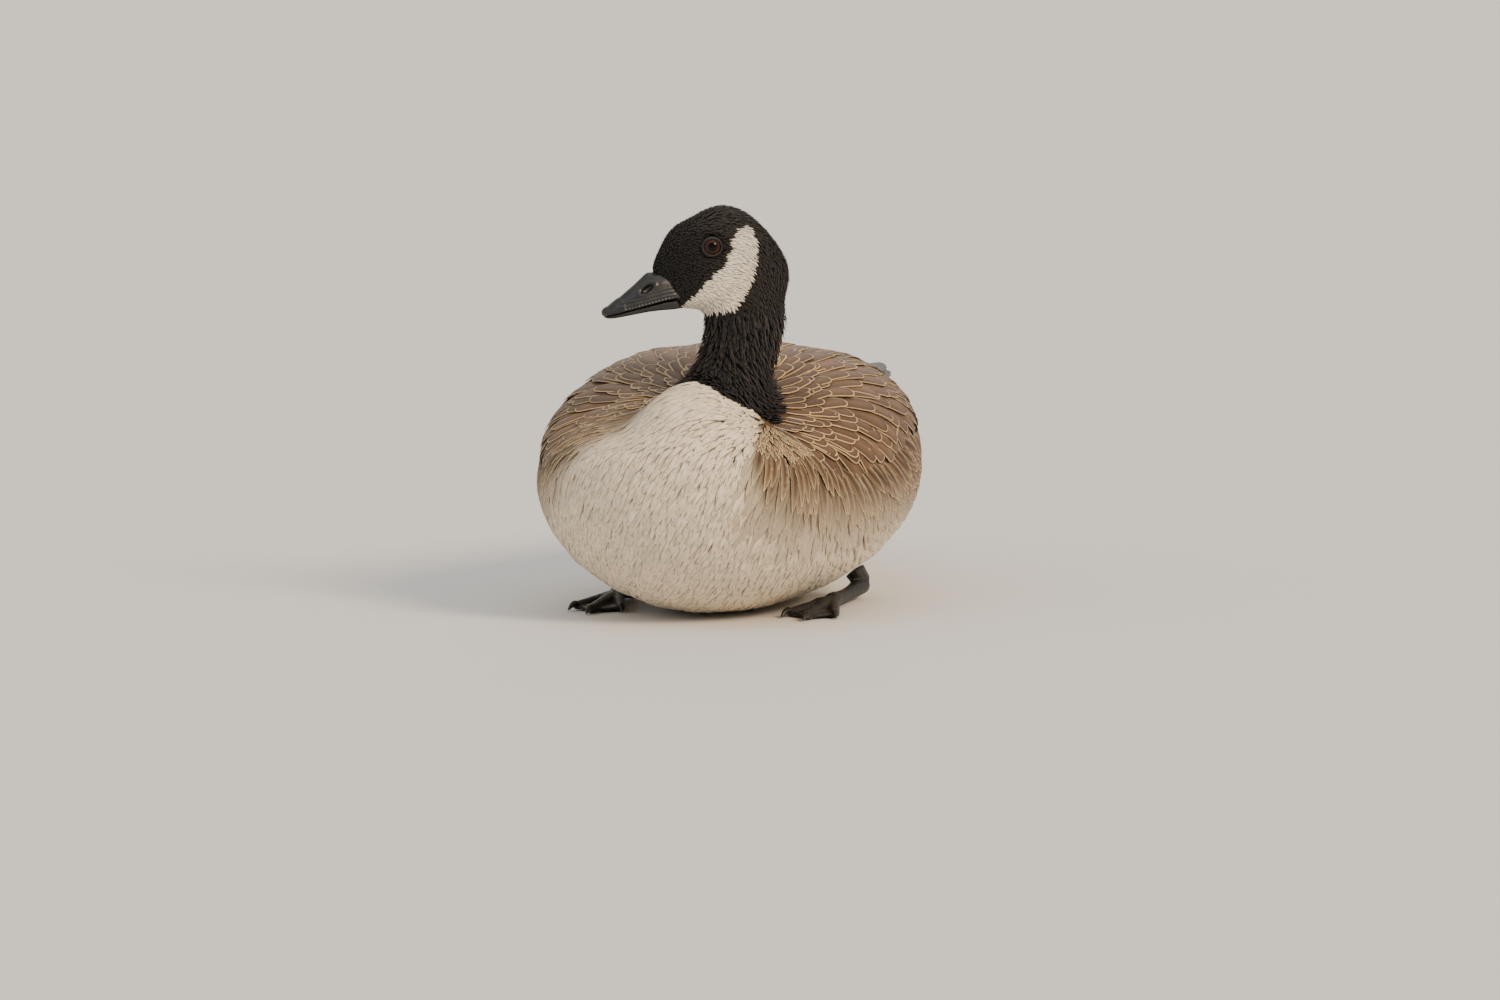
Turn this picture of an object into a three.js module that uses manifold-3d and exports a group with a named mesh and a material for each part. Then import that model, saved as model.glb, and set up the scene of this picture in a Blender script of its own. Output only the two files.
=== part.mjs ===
// A Canada goose at rest, as a still figure. Millimetres: it faces -Y, its own left is +X, +Z is up,
// and the origin is the middle of its belly, on the floor.
import * as THREE from "three";
import { mergeVertices } from "three/addons/utils/BufferGeometryUtils.js";
import Module from "manifold-3d";

const wasm = await Module();
wasm.setup();

// Sizes that the rest follows.
const GAP = 0.36; // between neighbouring nodes
const WING_DEPTH = 10; // how far the folded wing sinks into the body's outline
const CORE_DEPTH = 4.6; // how far the wing's core lies under its feathers
const FLANK_ANGLE = 18; // degrees up the section where the flank's edge covers the wing
const FOOT_LEVEL = 0; // floor
const HEAD_AT = [22.6, -98, 259.7]; // middle of the head
const HEAD_HEADING = 60; // degrees that the head turns to the bird's right
const NECK_CUT = { normal: [0.33, 0.25, 0.89], through: [23, -98, 154.4] }; // where the black neck ends
const HEAD_CUT_Z = 217; // where the neck meets the head
const EYE = { at: [14.2, 16.7, 8.3], radius: 8, ring: 6.6, lid: 1.4 };

// Body outline from breast to rump: y, half-width, level of the widest point, top, bottom.
const BODY = [
  [-191, 0, 104, 104, 104],
  [-189, 27, 103, 124, 80],
  [-178, 57, 100, 134, 56],
  [-160, 80, 97, 139, 34],
  [-130, 103, 95, 146, 14],
  [-95, 120, 94, 158, 2],
  [-50, 132.5, 94, 176, -3],
  [0, 136.5, 94, 187, -4],
  [50, 132, 95, 187.5, -3],
  [100, 118.5, 96, 181, 3],
  [145, 98, 99, 173.5, 18],
  [185, 74, 105, 166, 46],
  [220, 52, 114, 159, 74],
  [250, 35, 123, 152, 95],
  [275, 20, 130, 147, 110],
  [290, 8, 134, 141, 125],
  [292, 0, 134, 134, 134],
];
const TOP_POWER = 2.4;
const BOTTOM_POWER = 1.85;
// Neck's middle line from inside the breast to inside the head: x, y, z, half-width, half-depth.
const NECK = [
  [2, -122, 80, 48, 50],
  [4, -127, 104, 58, 60],
  [10, -123, 128, 52, 57],
  [18.5, -111, 147, 39, 45],
  [25.5, -99, 164, 31, 35],
  [29, -91, 182, 29.2, 32],
  [33.5, -88, 200, 28.8, 31.6],
  [35.5, -88, 218, 28, 31],
  [31, -90, 238, 24, 28],
  [25, -94, 258, 16, 20],
  [25, -94, 264, 6, 8],
];
const NECK_TWIST = [0, 0, 2, 6, 14, 26, 40, 52, 60, 60, 60];
// Head outline from nape to forehead, along its heading: forward, half-width, widest level, top, bottom.
const HEAD = [
  [-47.5, 0, -16, -16, -16],
  [-45.5, 13, -14, -3, -27],
  [-38, 20.5, -10, 9.5, -36],
  [-26, 24.5, -9, 24, -40],
  [-12, 26.3, -10, 35, -41],
  [2, 26, -11, 38.4, -41],
  [14, 24, -10, 35.8, -40],
  [25, 20.8, -9, 30.2, -38.6],
  [36, 15.8, -10, 24.6, -37.4],
  [43.5, 10.6, -9, 15.8, -34],
  [48.5, 7.2, -7, 6.8, -23],
  [53, 3.8, -6, -3, -13],
  [55.2, 0, -8, -8, -8],
];
// Bill from inside the head to its tip: forward, half-width, top, mouth line, chin.
const BILL = [
  [30, 9, -8, -27, -35],
  [38, 11.6, -4, -28, -36.4],
  [46, 12, -3, -29.8, -36.8],
  [54, 11.8, -7.6, -31.7, -37.4],
  [62, 11.6, -14.9, -33.7, -38.6],
  [70, 11.2, -22, -35.6, -40],
  [78, 10.4, -28.4, -37.6, -41.4],
  [84, 8.8, -33, -39.2, -42.2],
  [88, 5.6, -36.6, -40.2, -42.2],
];

// Smooth reading of a table of rows at t from 0 to 1.
function rowAt(table, t) {
  const s = Math.min(Math.max(t, 0), 1) * (table.length - 1);
  const i = Math.min(Math.floor(s), table.length - 2);
  const f = s - i;
  const at = (k) => table[Math.min(Math.max(k, 0), table.length - 1)];
  const [a, b, c, d] = [at(i - 1), at(i), at(i + 1), at(i + 2)];
  return b.map((_, n) => {
    const slopeIn = (c[n] - a[n]) / 2;
    const slopeOut = (d[n] - b[n]) / 2;
    const turn = 3 * (c[n] - b[n]) - 2 * slopeIn - slopeOut;
    const lift = 2 * (b[n] - c[n]) + slopeIn + slopeOut;
    return b[n] + f * (slopeIn + f * (turn + f * lift));
  });
}

// Place in a table, from 0 to 1, where its first column reaches a value.
function placeOf(table, value) {
  let low = 0;
  let high = 1;
  for (let n = 0; n < 40; n++) {
    const middle = (low + high) / 2;
    if (rowAt(table, middle)[0] < value) low = middle;
    else high = middle;
  }
  return (low + high) / 2;
}

const smooth = (from, to, x) => {
  const t = Math.min(Math.max((x - from) / (to - from), 0), 1);
  return t * t * (3 - 2 * t);
};
const radians = THREE.MathUtils.degToRad;
const signedPower = (value, power) => Math.sign(value) * Math.abs(value) ** power;

// A closed solid from a three.js geometry, turned to face outwards.
function solidOf(geometry) {
  const bare = new THREE.BufferGeometry();
  bare.setAttribute("position", geometry.getAttribute("position"));
  if (geometry.index) bare.setIndex(geometry.index);
  const merged = mergeVertices(bare, 1e-4);
  const triVerts = new Uint32Array(merged.index.array);
  const vertProperties = new Float32Array(merged.attributes.position.array);
  let made = new wasm.Manifold(new wasm.Mesh({ numProp: 3, vertProperties, triVerts }));
  if (made.volume() < 0) {
    for (let i = 0; i < triVerts.length; i += 3) {
      [triVerts[i + 1], triVerts[i + 2]] = [triVerts[i + 2], triVerts[i + 1]];
    }
    made = new wasm.Manifold(new wasm.Mesh({ numProp: 3, vertProperties, triVerts }));
  }
  return made;
}

// A closed skin of rings between two poles: point(along, around) places each vertex, both from 0 to 1.
function loft(rings, spokes, point) {
  const geometry = new THREE.SphereGeometry(1, spokes, rings);
  const places = geometry.getAttribute("uv");
  const position = geometry.getAttribute("position");
  for (let i = 0; i < position.count; i++) {
    const along = 1 - places.getY(i);
    const pole = along < 1e-6 || along > 1 - 1e-6;
    const around = pole ? 0 : places.getX(i) % 1;
    const p = point(along, around);
    position.setXYZ(i, p.x, p.y, p.z);
  }
  return solidOf(geometry);
}

// Point on the outline at station t and angle (degrees, 0 at the bird's left, 90 on top).
function outlinePoint(t, angle) {
  const [y, half, wide, top, bottom] = rowAt(BODY, t);
  const c = Math.cos(radians(angle));
  const s = Math.sin(radians(angle));
  const power = s > 0 ? TOP_POWER : BOTTOM_POWER;
  const rise = s > 0 ? top - wide : wide - bottom;
  const x = Math.max(half, 0) * signedPower(c, 2 / power);
  const z = wide + rise * signedPower(s, 2 / power);
  return new THREE.Vector3(x, y, z);
}

// Outward direction of the outline there.
function outlineNormal(t, angle) {
  const near = Math.min(Math.max(t, 0.012), 0.988);
  const along = outlinePoint(near + 0.004, angle).sub(outlinePoint(near - 0.004, angle));
  const around = outlinePoint(near, angle + 1.5).sub(outlinePoint(near, angle - 1.5));
  return around.cross(along).normalize().negate();
}

// How much of the wing's hollow is present at a place on the outline, from 0 to 1.
function wingShare(y, angle) {
  const side = angle > 90 ? 180 - angle : angle;
  const front = smooth(-124, -112, y - Math.max(side - 36, 0) * 0.9 - Math.max(26 - side, 0) * 0.8);
  const rear = 1 - smooth(196, 214, y);
  const low = smooth(FLANK_ANGLE - 1, FLANK_ANGLE + 3, side + 8 * smooth(110, 190, y));
  const high = 1 - smooth(67, 71, side - 12 * smooth(-20, 120, y));
  return front * rear * low * high;
}

// Point on the body under the wings, raised from it by some distance.
function bodyPoint(t, angle, raise = 0) {
  const p = outlinePoint(t, angle);
  const normal = outlineNormal(t, angle);
  const depth = WING_DEPTH * wingShare(p.y, angle);
  p.addScaledVector(normal, raise - depth);
  p.z = Math.max(p.z, FOOT_LEVEL - raise);
  return p;
}

// Angles of the body's spokes, closer together where the flank steps over the wing.
const HALF_SPOKES = [
  -90, -74, -57, -40, -23, -7, 7, 14, 17, 21, 29, 42, 55, 66, 71, 80,
];
const SPOKES = [...HALF_SPOKES, 90, ...HALF_SPOKES.slice(1).map((a) => 180 - a).reverse()];

function bodySolid(raise) {
  return loft(26, SPOKES.length, (along, around) => {
    const spoke = Math.round(around * SPOKES.length) % SPOKES.length;
    return bodyPoint(along, SPOKES[spoke], raise);
  });
}

// The neck from breast to skull, its round sections turning with the head.
function neckSolid(raise) {
  const line = new THREE.CatmullRomCurve3(NECK.map((r) => new THREE.Vector3(r[0], r[1], r[2])));
  const twists = NECK_TWIST.map((twist) => [twist]);
  return loft(16, 22, (along, around) => {
    const t = 0.5 - 0.5 * Math.cos(Math.PI * along);
    const [x, y, z, half, depth] = rowAt(NECK, t);
    const tangent = line.getTangent(t);
    const turn = radians(rowAt(twists, t)[0]);
    const side = new THREE.Vector3(Math.cos(turn), -Math.sin(turn), 0);
    side.addScaledVector(tangent, -side.dot(tangent)).normalize();
    const back = new THREE.Vector3().crossVectors(tangent, side);
    const round = Math.sqrt(Math.max(1 - (2 * along - 1) ** 12, 0));
    const angle = 2 * Math.PI * around;
    const p = new THREE.Vector3(x, y, z);
    p.addScaledVector(side, (half + raise) * round * Math.cos(angle));
    p.addScaledVector(back, (depth + raise) * round * Math.sin(angle));
    return p;
  });
}

// The head's own frame: x forward, y to its left, z up.
const headFrame = new THREE.Matrix4().makeRotationZ(radians(-90 - HEAD_HEADING));
headFrame.setPosition(...HEAD_AT);

function headSolid(raise) {
  const made = loft(16, 20, (along, around) => {
    const [forward, half, wide, top, bottom] = rowAt(HEAD, along);
    const angle = 2 * Math.PI * around;
    const c = Math.cos(angle);
    const s = Math.sin(angle);
    const end = smooth(0, 0.06, along) * (1 - smooth(0.96, 1, along));
    const rise = s > 0 ? top - wide : wide - bottom;
    const reach = along < 0.5 ? -raise : raise;
    return new THREE.Vector3(
      forward + reach * (1 - end),
      (Math.max(half, 0) + raise * end) * signedPower(c, 0.9),
      wide + (rise + raise * end) * signedPower(s, 0.92),
    );
  });
  return placed(made, headFrame);
}

// A solid moved by a matrix.
function placed(solid, matrix) {
  return solid.transform(matrix.elements);
}

// An ellipsoid, turned about its own y by a pitch in degrees.
function egg(at, radii, pitch = 0, spokes = 14) {
  const ball = new THREE.SphereGeometry(1, spokes, Math.round(spokes * 0.75));
  ball.scale(...radii);
  ball.rotateY(radians(pitch));
  ball.translate(...at);
  return solidOf(ball);
}

// Upper or lower half of the bill, in the head's frame.
function billHalf(upper) {
  const made = loft(11, 14, (along, around) => {
    const t = 0.5 - 0.5 * Math.cos(Math.PI * along);
    const [forward, half, top, mouth, chin] = rowAt(BILL, t);
    const high = upper ? top : mouth - GAP;
    const low = upper ? mouth : chin;
    const angle = 2 * Math.PI * around;
    const c = Math.cos(angle);
    const s = Math.sin(angle);
    const round = Math.sqrt(Math.max(1 - (2 * along - 1) ** 14, 0));
    const width = upper ? half : half * 0.86;
    const above = signedPower(Math.max(s, 0), upper ? 0.85 : 0.35) * (high - low);
    const below = s < 0 ? 0 : above;
    const taper = upper ? 1 - 0.42 * (below / Math.max(high - low, 0.1)) ** 1.6 : 0.72 + 0.28 * (below / (high - low));
    return new THREE.Vector3(
      forward,
      width * round * signedPower(c, 0.8) * taper,
      low + (s < 0 ? 0.25 * (1 + s) - 0.25 : below) * round,
    );
  });
  return made;
}

function billUpperSolid() {
  let made = billHalf(true);
  made = made.add(egg([85.2, 0, -38], [4.8, 5.4, 3.9], 28, 10));
  for (const side of [-1, 1]) {
    const nostril = egg([58, side * 9.6, -21.6], [5.4, 2.9, 2.2], 32, 8);
    made = made.subtract(nostril);
  }
  return made;
}

// Largest closed piece of a solid.
function largest(solid) {
  return solid.decompose().reduce((best, piece) => (piece.volume() > best.volume() ? piece : best));
}

// A limb: round sections along a curve, with blunt ends.
function limb(points, radii, rings = 8, spokes = 10) {
  const line = new THREE.CatmullRomCurve3(points.map((p) => new THREE.Vector3(...p)));
  const sizes = radii.map((radius) => [radius]);
  return loft(rings, spokes, (along, around) => {
    const t = 0.5 - 0.5 * Math.cos(Math.PI * along);
    const tangent = line.getTangent(t);
    const side = new THREE.Vector3(0, 0, 1).cross(tangent).normalize();
    const up = new THREE.Vector3().crossVectors(tangent, side);
    const round = Math.sqrt(Math.max(1 - (2 * along - 1) ** 8, 0));
    const radius = rowAt(sizes, t)[0] * round;
    const angle = 2 * Math.PI * around;
    const p = line.getPoint(t);
    p.addScaledVector(side, radius * Math.cos(angle));
    return p.addScaledVector(up, radius * Math.sin(angle));
  });
}

// One feather's vane from rows of places: three points across, the shaft a little higher than the edges,
// and the same triangles on both faces.
function vane(rows) {
  const position = [];
  const index = [];
  for (const { at, side, up, half, cup, thick } of rows) {
    for (const face of [1, -1]) {
      for (const across of [-1, 0, 1]) {
        const edge = Math.abs(across);
        const p = at.clone().addScaledVector(side, across * half);
        p.addScaledVector(up, face * thick * (edge ? 0.32 : 0.5) - cup * edge);
        position.push(p.x, p.y, p.z);
      }
    }
  }
  const quad = (a, b, c, d) => index.push(a, b, c, a, c, d);
  for (let k = 0; k < rows.length - 1; k++) {
    const here = 6 * k;
    const next = here + 6;
    for (const s of [0, 1]) {
      quad(here + s, here + s + 1, next + s + 1, next + s);
      index.push(here + 3 + s, next + 4 + s, here + 4 + s, here + 3 + s, next + 3 + s, next + 4 + s);
    }
    quad(here + 3, here, next, next + 3);
    quad(here + 2, here + 5, next + 5, next + 2);
  }
  const last = 6 * (rows.length - 1);
  for (const s of [0, 1]) {
    quad(s + 1, s, s + 3, s + 4);
    quad(last + s, last + s + 1, last + s + 4, last + s + 3);
  }
  const geometry = new THREE.BufferGeometry();
  geometry.setAttribute("position", new THREE.Float32BufferAttribute(position, 3));
  geometry.setIndex(index);
  return solidOf(geometry);
}

// Share of a vane's full half-width at rows from root to rounded tip.
const SHAPES = {
  short: { stops: [0, 0.55, 1], shares: [0.7, 1, 0.5] },
  covert: { stops: [0, 0.36, 0.74, 1], shares: [0.62, 0.98, 0.96, 0.42] },
  quill: { stops: [0, 0.25, 0.55, 0.86, 1], shares: [0.6, 0.9, 1, 0.9, 0.4] },
};

const LYING_ROLL = 7; // degrees
// A feather that lies on the body's outline, from a root at (y, angle) back along the wing.
function lyingVane({ y, angle, length, half, drift, lift, shape }) {
  const thick = 1.5;
  const sink = CORE_DEPTH + 0.6;
  const { stops, shares } = SHAPES[shape];
  let here = y;
  let turn = angle;
  const rows = stops.map((stop, k) => {
    const step = k ? length * (stop - stops[k - 1]) : 0;
    const from = placeOf(BODY, here);
    const arc = outlinePoint(from, turn + 1).distanceTo(outlinePoint(from, turn - 1)) / 2;
    here += step * Math.cos(radians(drift));
    turn += (step * Math.sin(radians(drift))) / arc;
    const t = placeOf(BODY, here);
    const up = outlineNormal(t, turn);
    const at = outlinePoint(t, turn).addScaledVector(up, -sink + (sink + lift) * stop ** 0.8);
    const share = shares[k];
    return { at, up, half: half * share, cup: 0.9 * share, thick: stop === 1 ? thick * 0.55 : thick };
  });
  return vane(withSides(rows, LYING_ROLL));
}

// Gives each row its sideways direction, square to the way that the rows run, and rolls it by some
// degrees, so that a feather's edge lies over its neighbour's and doesn't cut it.
function withSides(rows, roll = 0) {
  return rows.map((row, k) => {
    const ahead = rows[Math.min(k + 1, rows.length - 1)].at;
    const behind = rows[Math.max(k - 1, 0)].at;
    const flat = ahead.clone().sub(behind).cross(row.up).normalize();
    const turn = radians(roll);
    const side = flat.clone().multiplyScalar(Math.cos(turn)).addScaledVector(row.up, Math.sin(turn));
    const up = row.up.clone().multiplyScalar(Math.cos(turn)).addScaledVector(flat, -Math.sin(turn));
    return { ...row, side, up };
  });
}

const QUILL_ROLL = 6; // degrees
// A long feather from a root on the outline to a free tip, bowed between them.
function longVane({ y, angle, sink, tip, tipUp, bow, half, thick }) {
  const t = placeOf(BODY, y);
  const rootUp = outlineNormal(t, angle);
  const root = outlinePoint(t, angle).addScaledVector(rootUp, -sink);
  const end = new THREE.Vector3(...tip);
  const endUp = new THREE.Vector3(...tipUp).normalize();
  const { stops, shares } = SHAPES.quill;
  const rows = stops.map((stop, k) => {
    const up = rootUp.clone().lerp(endUp, stop).normalize();
    const at = root.clone().lerp(end, stop).addScaledVector(up, bow * 4 * stop * (1 - stop));
    const share = shares[k];
    return { at, up, half: half * share, cup: 1.1 * share, thick: stop === 1 ? thick * 0.5 : thick };
  });
  return vane(withSides(rows, QUILL_ROLL));
}

// The wing's core: a patch under the outline, thick enough to reach into the body.
function wingCore() {
  const alongStops = 11;
  const angles = [15, 23, 34, 46, 58, 70, 84];
  const position = [];
  const index = [];
  const columns = angles.length;
  for (const depth of [CORE_DEPTH, 16]) {
    for (let i = 0; i <= alongStops; i++) {
      const y = -126 + (336 * i) / alongStops;
      const t = placeOf(BODY, y);
      for (const angle of angles) {
        const p = outlinePoint(t, angle).addScaledVector(outlineNormal(t, angle), -depth);
        position.push(p.x, p.y, p.z);
      }
    }
  }
  const rows = alongStops + 1;
  const at = (layer, i, j) => (layer * rows + i) * columns + j;
  const quad = (a, b, c, d) => index.push(a, b, c, a, c, d);
  for (let i = 0; i < alongStops; i++) {
    for (let j = 0; j < columns - 1; j++) {
      quad(at(0, i, j), at(0, i, j + 1), at(0, i + 1, j + 1), at(0, i + 1, j));
      quad(at(1, i, j), at(1, i + 1, j), at(1, i + 1, j + 1), at(1, i, j + 1));
    }
    quad(at(0, i, 0), at(0, i + 1, 0), at(1, i + 1, 0), at(1, i, 0));
    quad(at(0, i + 1, columns - 1), at(0, i, columns - 1), at(1, i, columns - 1), at(1, i + 1, columns - 1));
  }
  for (let j = 0; j < columns - 1; j++) {
    quad(at(0, 0, j + 1), at(0, 0, j), at(1, 0, j), at(1, 0, j + 1));
    quad(at(0, alongStops, j), at(0, alongStops, j + 1), at(1, alongStops, j + 1), at(1, alongStops, j));
  }
  const geometry = new THREE.BufferGeometry();
  geometry.setAttribute("position", new THREE.Float32BufferAttribute(position, 3));
  geometry.setIndex(index);
  return solidOf(geometry);
}

// Small seeded variation, from -1 to 1, so that feathers of a tier are not all alike.
function wobble(seed) {
  const s = Math.sin(seed * 127.1 + 3.7) * 43758.5453;
  return 2 * (s - Math.floor(s)) - 1;
}

// Tiers of lying feathers: where each starts, how many, and the size of its feathers.
const TIERS = [
  { name: "shoulder", y: [-112, -88], angle: [27, 58], count: 4, length: 50, half: 14, drift: -5, shape: "short" },
  { name: "lesser", y: [-74, -56], angle: [25, 64], count: 5, length: 54, half: 15.5, drift: -4, shape: "short" },
  { name: "scapular", y: [-34, -24], angle: [26, 70], count: 5, length: 62, half: 17.5, drift: -3, shape: "covert" },
  { name: "median", y: [6, 10], angle: [26, 68], count: 5, length: 64, half: 17.5, drift: -2, shape: "covert" },
  { name: "greater", y: [46, 44], angle: [26, 72], count: 5, length: 70, half: 17.5, drift: -1, shape: "covert" },
  { name: "tertial", y: [88, 76], angle: [32, 72], count: 4, length: 80, half: 17, drift: -3, shape: "covert" },
];
// Quills of the folded hand: root y and angle, and the place of each tip.
const QUILLS = [
  { y: 92, angle: 25, tip: [62, 218, 117], half: 11.5 },
  { y: 98, angle: 32, tip: [53, 240, 126], half: 11.5 },
  { y: 105, angle: 39, tip: [43, 264, 133], half: 11 },
  { y: 112, angle: 46, tip: [32, 288, 140], half: 10.5 },
  { y: 119, angle: 53, tip: [21, 312, 146], half: 10 },
];

// The left wing, folded: its core and its tiers of feathers as one body.
function wingSolid() {
  let made = wingCore();
  QUILLS.forEach(({ y, angle, tip, half }, n) => {
    const tipUp = [0.75 - 0.1 * n, 0.05, 1];
    made = made.add(longVane({ y, angle, sink: 7 - n * 0.7, tip, tipUp, bow: 2.5 - 0.3 * n, half, thick: 1.7 }));
  });
  TIERS.forEach(({ y, angle, count, length, half, drift, shape }, tier) => {
    for (let n = 0; n < count; n++) {
      const share = n / (count - 1);
      const seed = tier * 31 + n;
      made = made.add(lyingVane({
        y: y[0] + (y[1] - y[0]) * share + 5 * wobble(seed),
        angle: angle[0] + (angle[1] - angle[0]) * share + 0.8 * wobble(seed + 0.3),
        length: length * (1 + 0.06 * wobble(seed + 0.6)),
        half,
        drift,
        lift: 0.5 + 0.25 * (n % 2),
        shape,
      }));
    }
  });
  return made;
}

// The tail: a folded fan of long feathers, the middle one on top, joined at a root round the rump's end.
const TAIL = { pairs: 4, root: [0, 266, 139], reach: 108, spread: 6.5, half: 10.5, step: 1.35, thick: 0.95 };

function tailFeather(place) {
  const share = place / TAIL.pairs;
  const turn = radians(share * TAIL.spread);
  const up = new THREE.Vector3(0, 0, 1);
  const rows = SHAPES.quill.stops.map((stop, k) => {
    const reach = 8 + (TAIL.reach - 8 - 7 * share * share) * stop;
    const at = new THREE.Vector3(
      TAIL.root[0] + share * 11 + Math.sin(turn) * reach,
      TAIL.root[1] + Math.cos(turn) * reach,
      TAIL.root[2] + 2 - TAIL.step * Math.abs(place) + 2.5 * stop * (1 - stop) + stop,
    );
    const part = SHAPES.quill.shares[k];
    return { at, up, half: TAIL.half * part, cup: part, thick: stop === 1 ? 0.6 : TAIL.thick };
  });
  return vane(withSides(rows));
}

function tailSolid() {
  let made = egg([0, 284, 136], [24, 26, 9], 0, 14);
  for (let place = -TAIL.pairs; place <= TAIL.pairs; place++) made = made.add(tailFeather(place));
  return made;
}

// Legs are folded under the flanks, the shank flat on the floor and the toes forward.
const LEG = { ankle: [80, -14, 6.4], heel: [82, 66, 10], thigh: [70, 24, 44] };
const TOES = [
  { tip: [61, -72, 3.4], radius: 4.2 },
  { tip: [80, -90, 3.4], radius: 4.6 },
  { tip: [97, -71, 3.4], radius: 4.2 },
];
const SHANK_CUT_Y = -5;

function legSolid() {
  const shank = limb([LEG.ankle, [81, 26, 7], LEG.heel], [5.6, 5, 7.2], 7, 10);
  const thigh = limb([LEG.heel, [77, 48, 26], LEG.thigh], [7, 9, 15], 6, 10);
  return shank.add(thigh);
}

function footSolid() {
  const [x, y, z] = LEG.ankle;
  const outline = new THREE.Shape();
  outline.moveTo(x - 3, y + 2);
  const [inner, middle, outer] = TOES.map(({ tip }) => tip);
  outline.lineTo(inner[0] - 1, inner[1] + 4);
  outline.quadraticCurveTo(inner[0] + 9, inner[1] + 1, middle[0], middle[1] + 3);
  outline.quadraticCurveTo(outer[0] - 8, outer[1] + 1, outer[0] + 1, outer[1] + 4);
  outline.lineTo(x + 4, y + 2);
  outline.closePath();
  const web = new THREE.ExtrudeGeometry(outline, { depth: 2.2, bevelEnabled: false, curveSegments: 3 });
  web.translate(0, 0, 1.4);
  let made = solidOf(web);
  made = made.add(limb([[x, SHANK_CUT_Y + 4, 7], [x, y - 6, 6]], [5.6, 6.6], 4, 10));
  for (const { tip, radius } of TOES) {
    const knuckle = [(x + tip[0]) / 2, (y + tip[1]) / 2, 4.6];
    made = made.add(limb([[x, y, 6], knuckle, tip], [radius + 1, radius, radius * 0.8], 6, 8));
    const reach = new THREE.Vector3(tip[0] - x, tip[1] - y, 0).setLength(9);
    const claw = [tip[0] + reach.x, tip[1] + reach.y, 1.6];
    made = made.add(limb([tip, [(tip[0] + claw[0]) / 2, (tip[1] + claw[1]) / 2, 4], claw], [2.6, 2.2, 1.2], 4, 6));
  }
  made = made.add(limb([[x - 4, y + 4, 6], [x - 13, y + 8, 5], [x - 19, y + 3, 3]], [3.4, 2.8, 1.6], 4, 6));
  return made.trimByPlane([0, 0, 1], FOOT_LEVEL).trimByPlane([0, -1, 0], -(SHANK_CUT_Y - GAP));
}

// Lids: a ring round the eye, standing a little out of the head.
function lidRing(side) {
  const ring = new THREE.TorusGeometry(EYE.ring, EYE.lid, 5, 14);
  ring.scale(1.1, 0.92, 0.8);
  ring.rotateX(radians(90));
  ring.rotateZ(radians(side > 0 ? 180 : 0));
  ring.translate(EYE.at[0], side * (EYE.at[1] + 5.4), EYE.at[2]);
  return solidOf(ring);
}

function eyeBall(side, grow) {
  const radius = EYE.radius + grow;
  return egg([EYE.at[0], side * EYE.at[1], EYE.at[2]], [radius, radius, radius], 0, 12);
}

// Colour and finish of each surface, as the photo shows it.
const LOOKS = {
  plumage_pale: { color: 0xcfc4b0, roughness: 0.9, metalness: 0 },
  plumage_brown: { color: 0x6e5845, roughness: 0.85, metalness: 0 },
  plumage_black: { color: 0x1b1917, roughness: 0.8, metalness: 0 },
  bill_horn: { color: 0x17181b, roughness: 0.4, metalness: 0 },
  eye: { color: 0x2a1710, roughness: 0.08, metalness: 0 },
  leg_skin: { color: 0x1c1b1b, roughness: 0.6, metalness: 0 },
};

const group = new THREE.Group();
group.name = "goose";
const headGroup = new THREE.Group();
headGroup.applyMatrix4(headFrame);
group.add(headGroup);
group.updateMatrixWorld(true);

// Adds a solid, given in the bird's frame, as a named mesh of a group.
function addNode(name, whole, look, parent = group) {
  const solid = placed(whole, parent.matrixWorld.clone().invert());
  const { vertProperties, triVerts, numProp } = solid.getMesh();
  const position = new Float32Array((vertProperties.length / numProp) * 3);
  for (let i = 0; i < position.length / 3; i++) {
    for (let k = 0; k < 3; k++) position[3 * i + k] = vertProperties[numProp * i + k];
  }
  const geometry = new THREE.BufferGeometry();
  geometry.setAttribute("position", new THREE.BufferAttribute(position, 3));
  geometry.setIndex(new THREE.BufferAttribute(new Uint32Array(triVerts), 1));
  geometry.computeVertexNormals();
  const mesh = new THREE.Mesh(geometry, new THREE.MeshStandardMaterial(LOOKS[look]));
  mesh.name = name;
  parent.add(mesh);
}

// Half spaces on both sides of the neck's lower cut, half a gap away from it.
const cutNormal = new THREE.Vector3(...NECK_CUT.normal).normalize();
const cutAt = new THREE.Vector3(...NECK_CUT.through).dot(cutNormal);
const aboveCut = (solid) => solid.trimByPlane(cutNormal.toArray(), cutAt + GAP / 2);
const belowCut = (solid) => solid.trimByPlane(cutNormal.clone().negate().toArray(), GAP / 2 - cutAt);
const mirrored = (solid) => solid.mirror([1, 0, 0]);

const body = bodySolid(0);
const bodyGrown = bodySolid(GAP);
const neckGrown = neckSolid(GAP);
const breast = belowCut(neckSolid(0));
const eyes = [1, -1].map((side) => placed(eyeBall(side, 0), headFrame));
const sockets = [1, -1].map((side) => placed(eyeBall(side, GAP), headFrame));
const lids = [1, -1].map((side) => placed(lidRing(side), headFrame));

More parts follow.
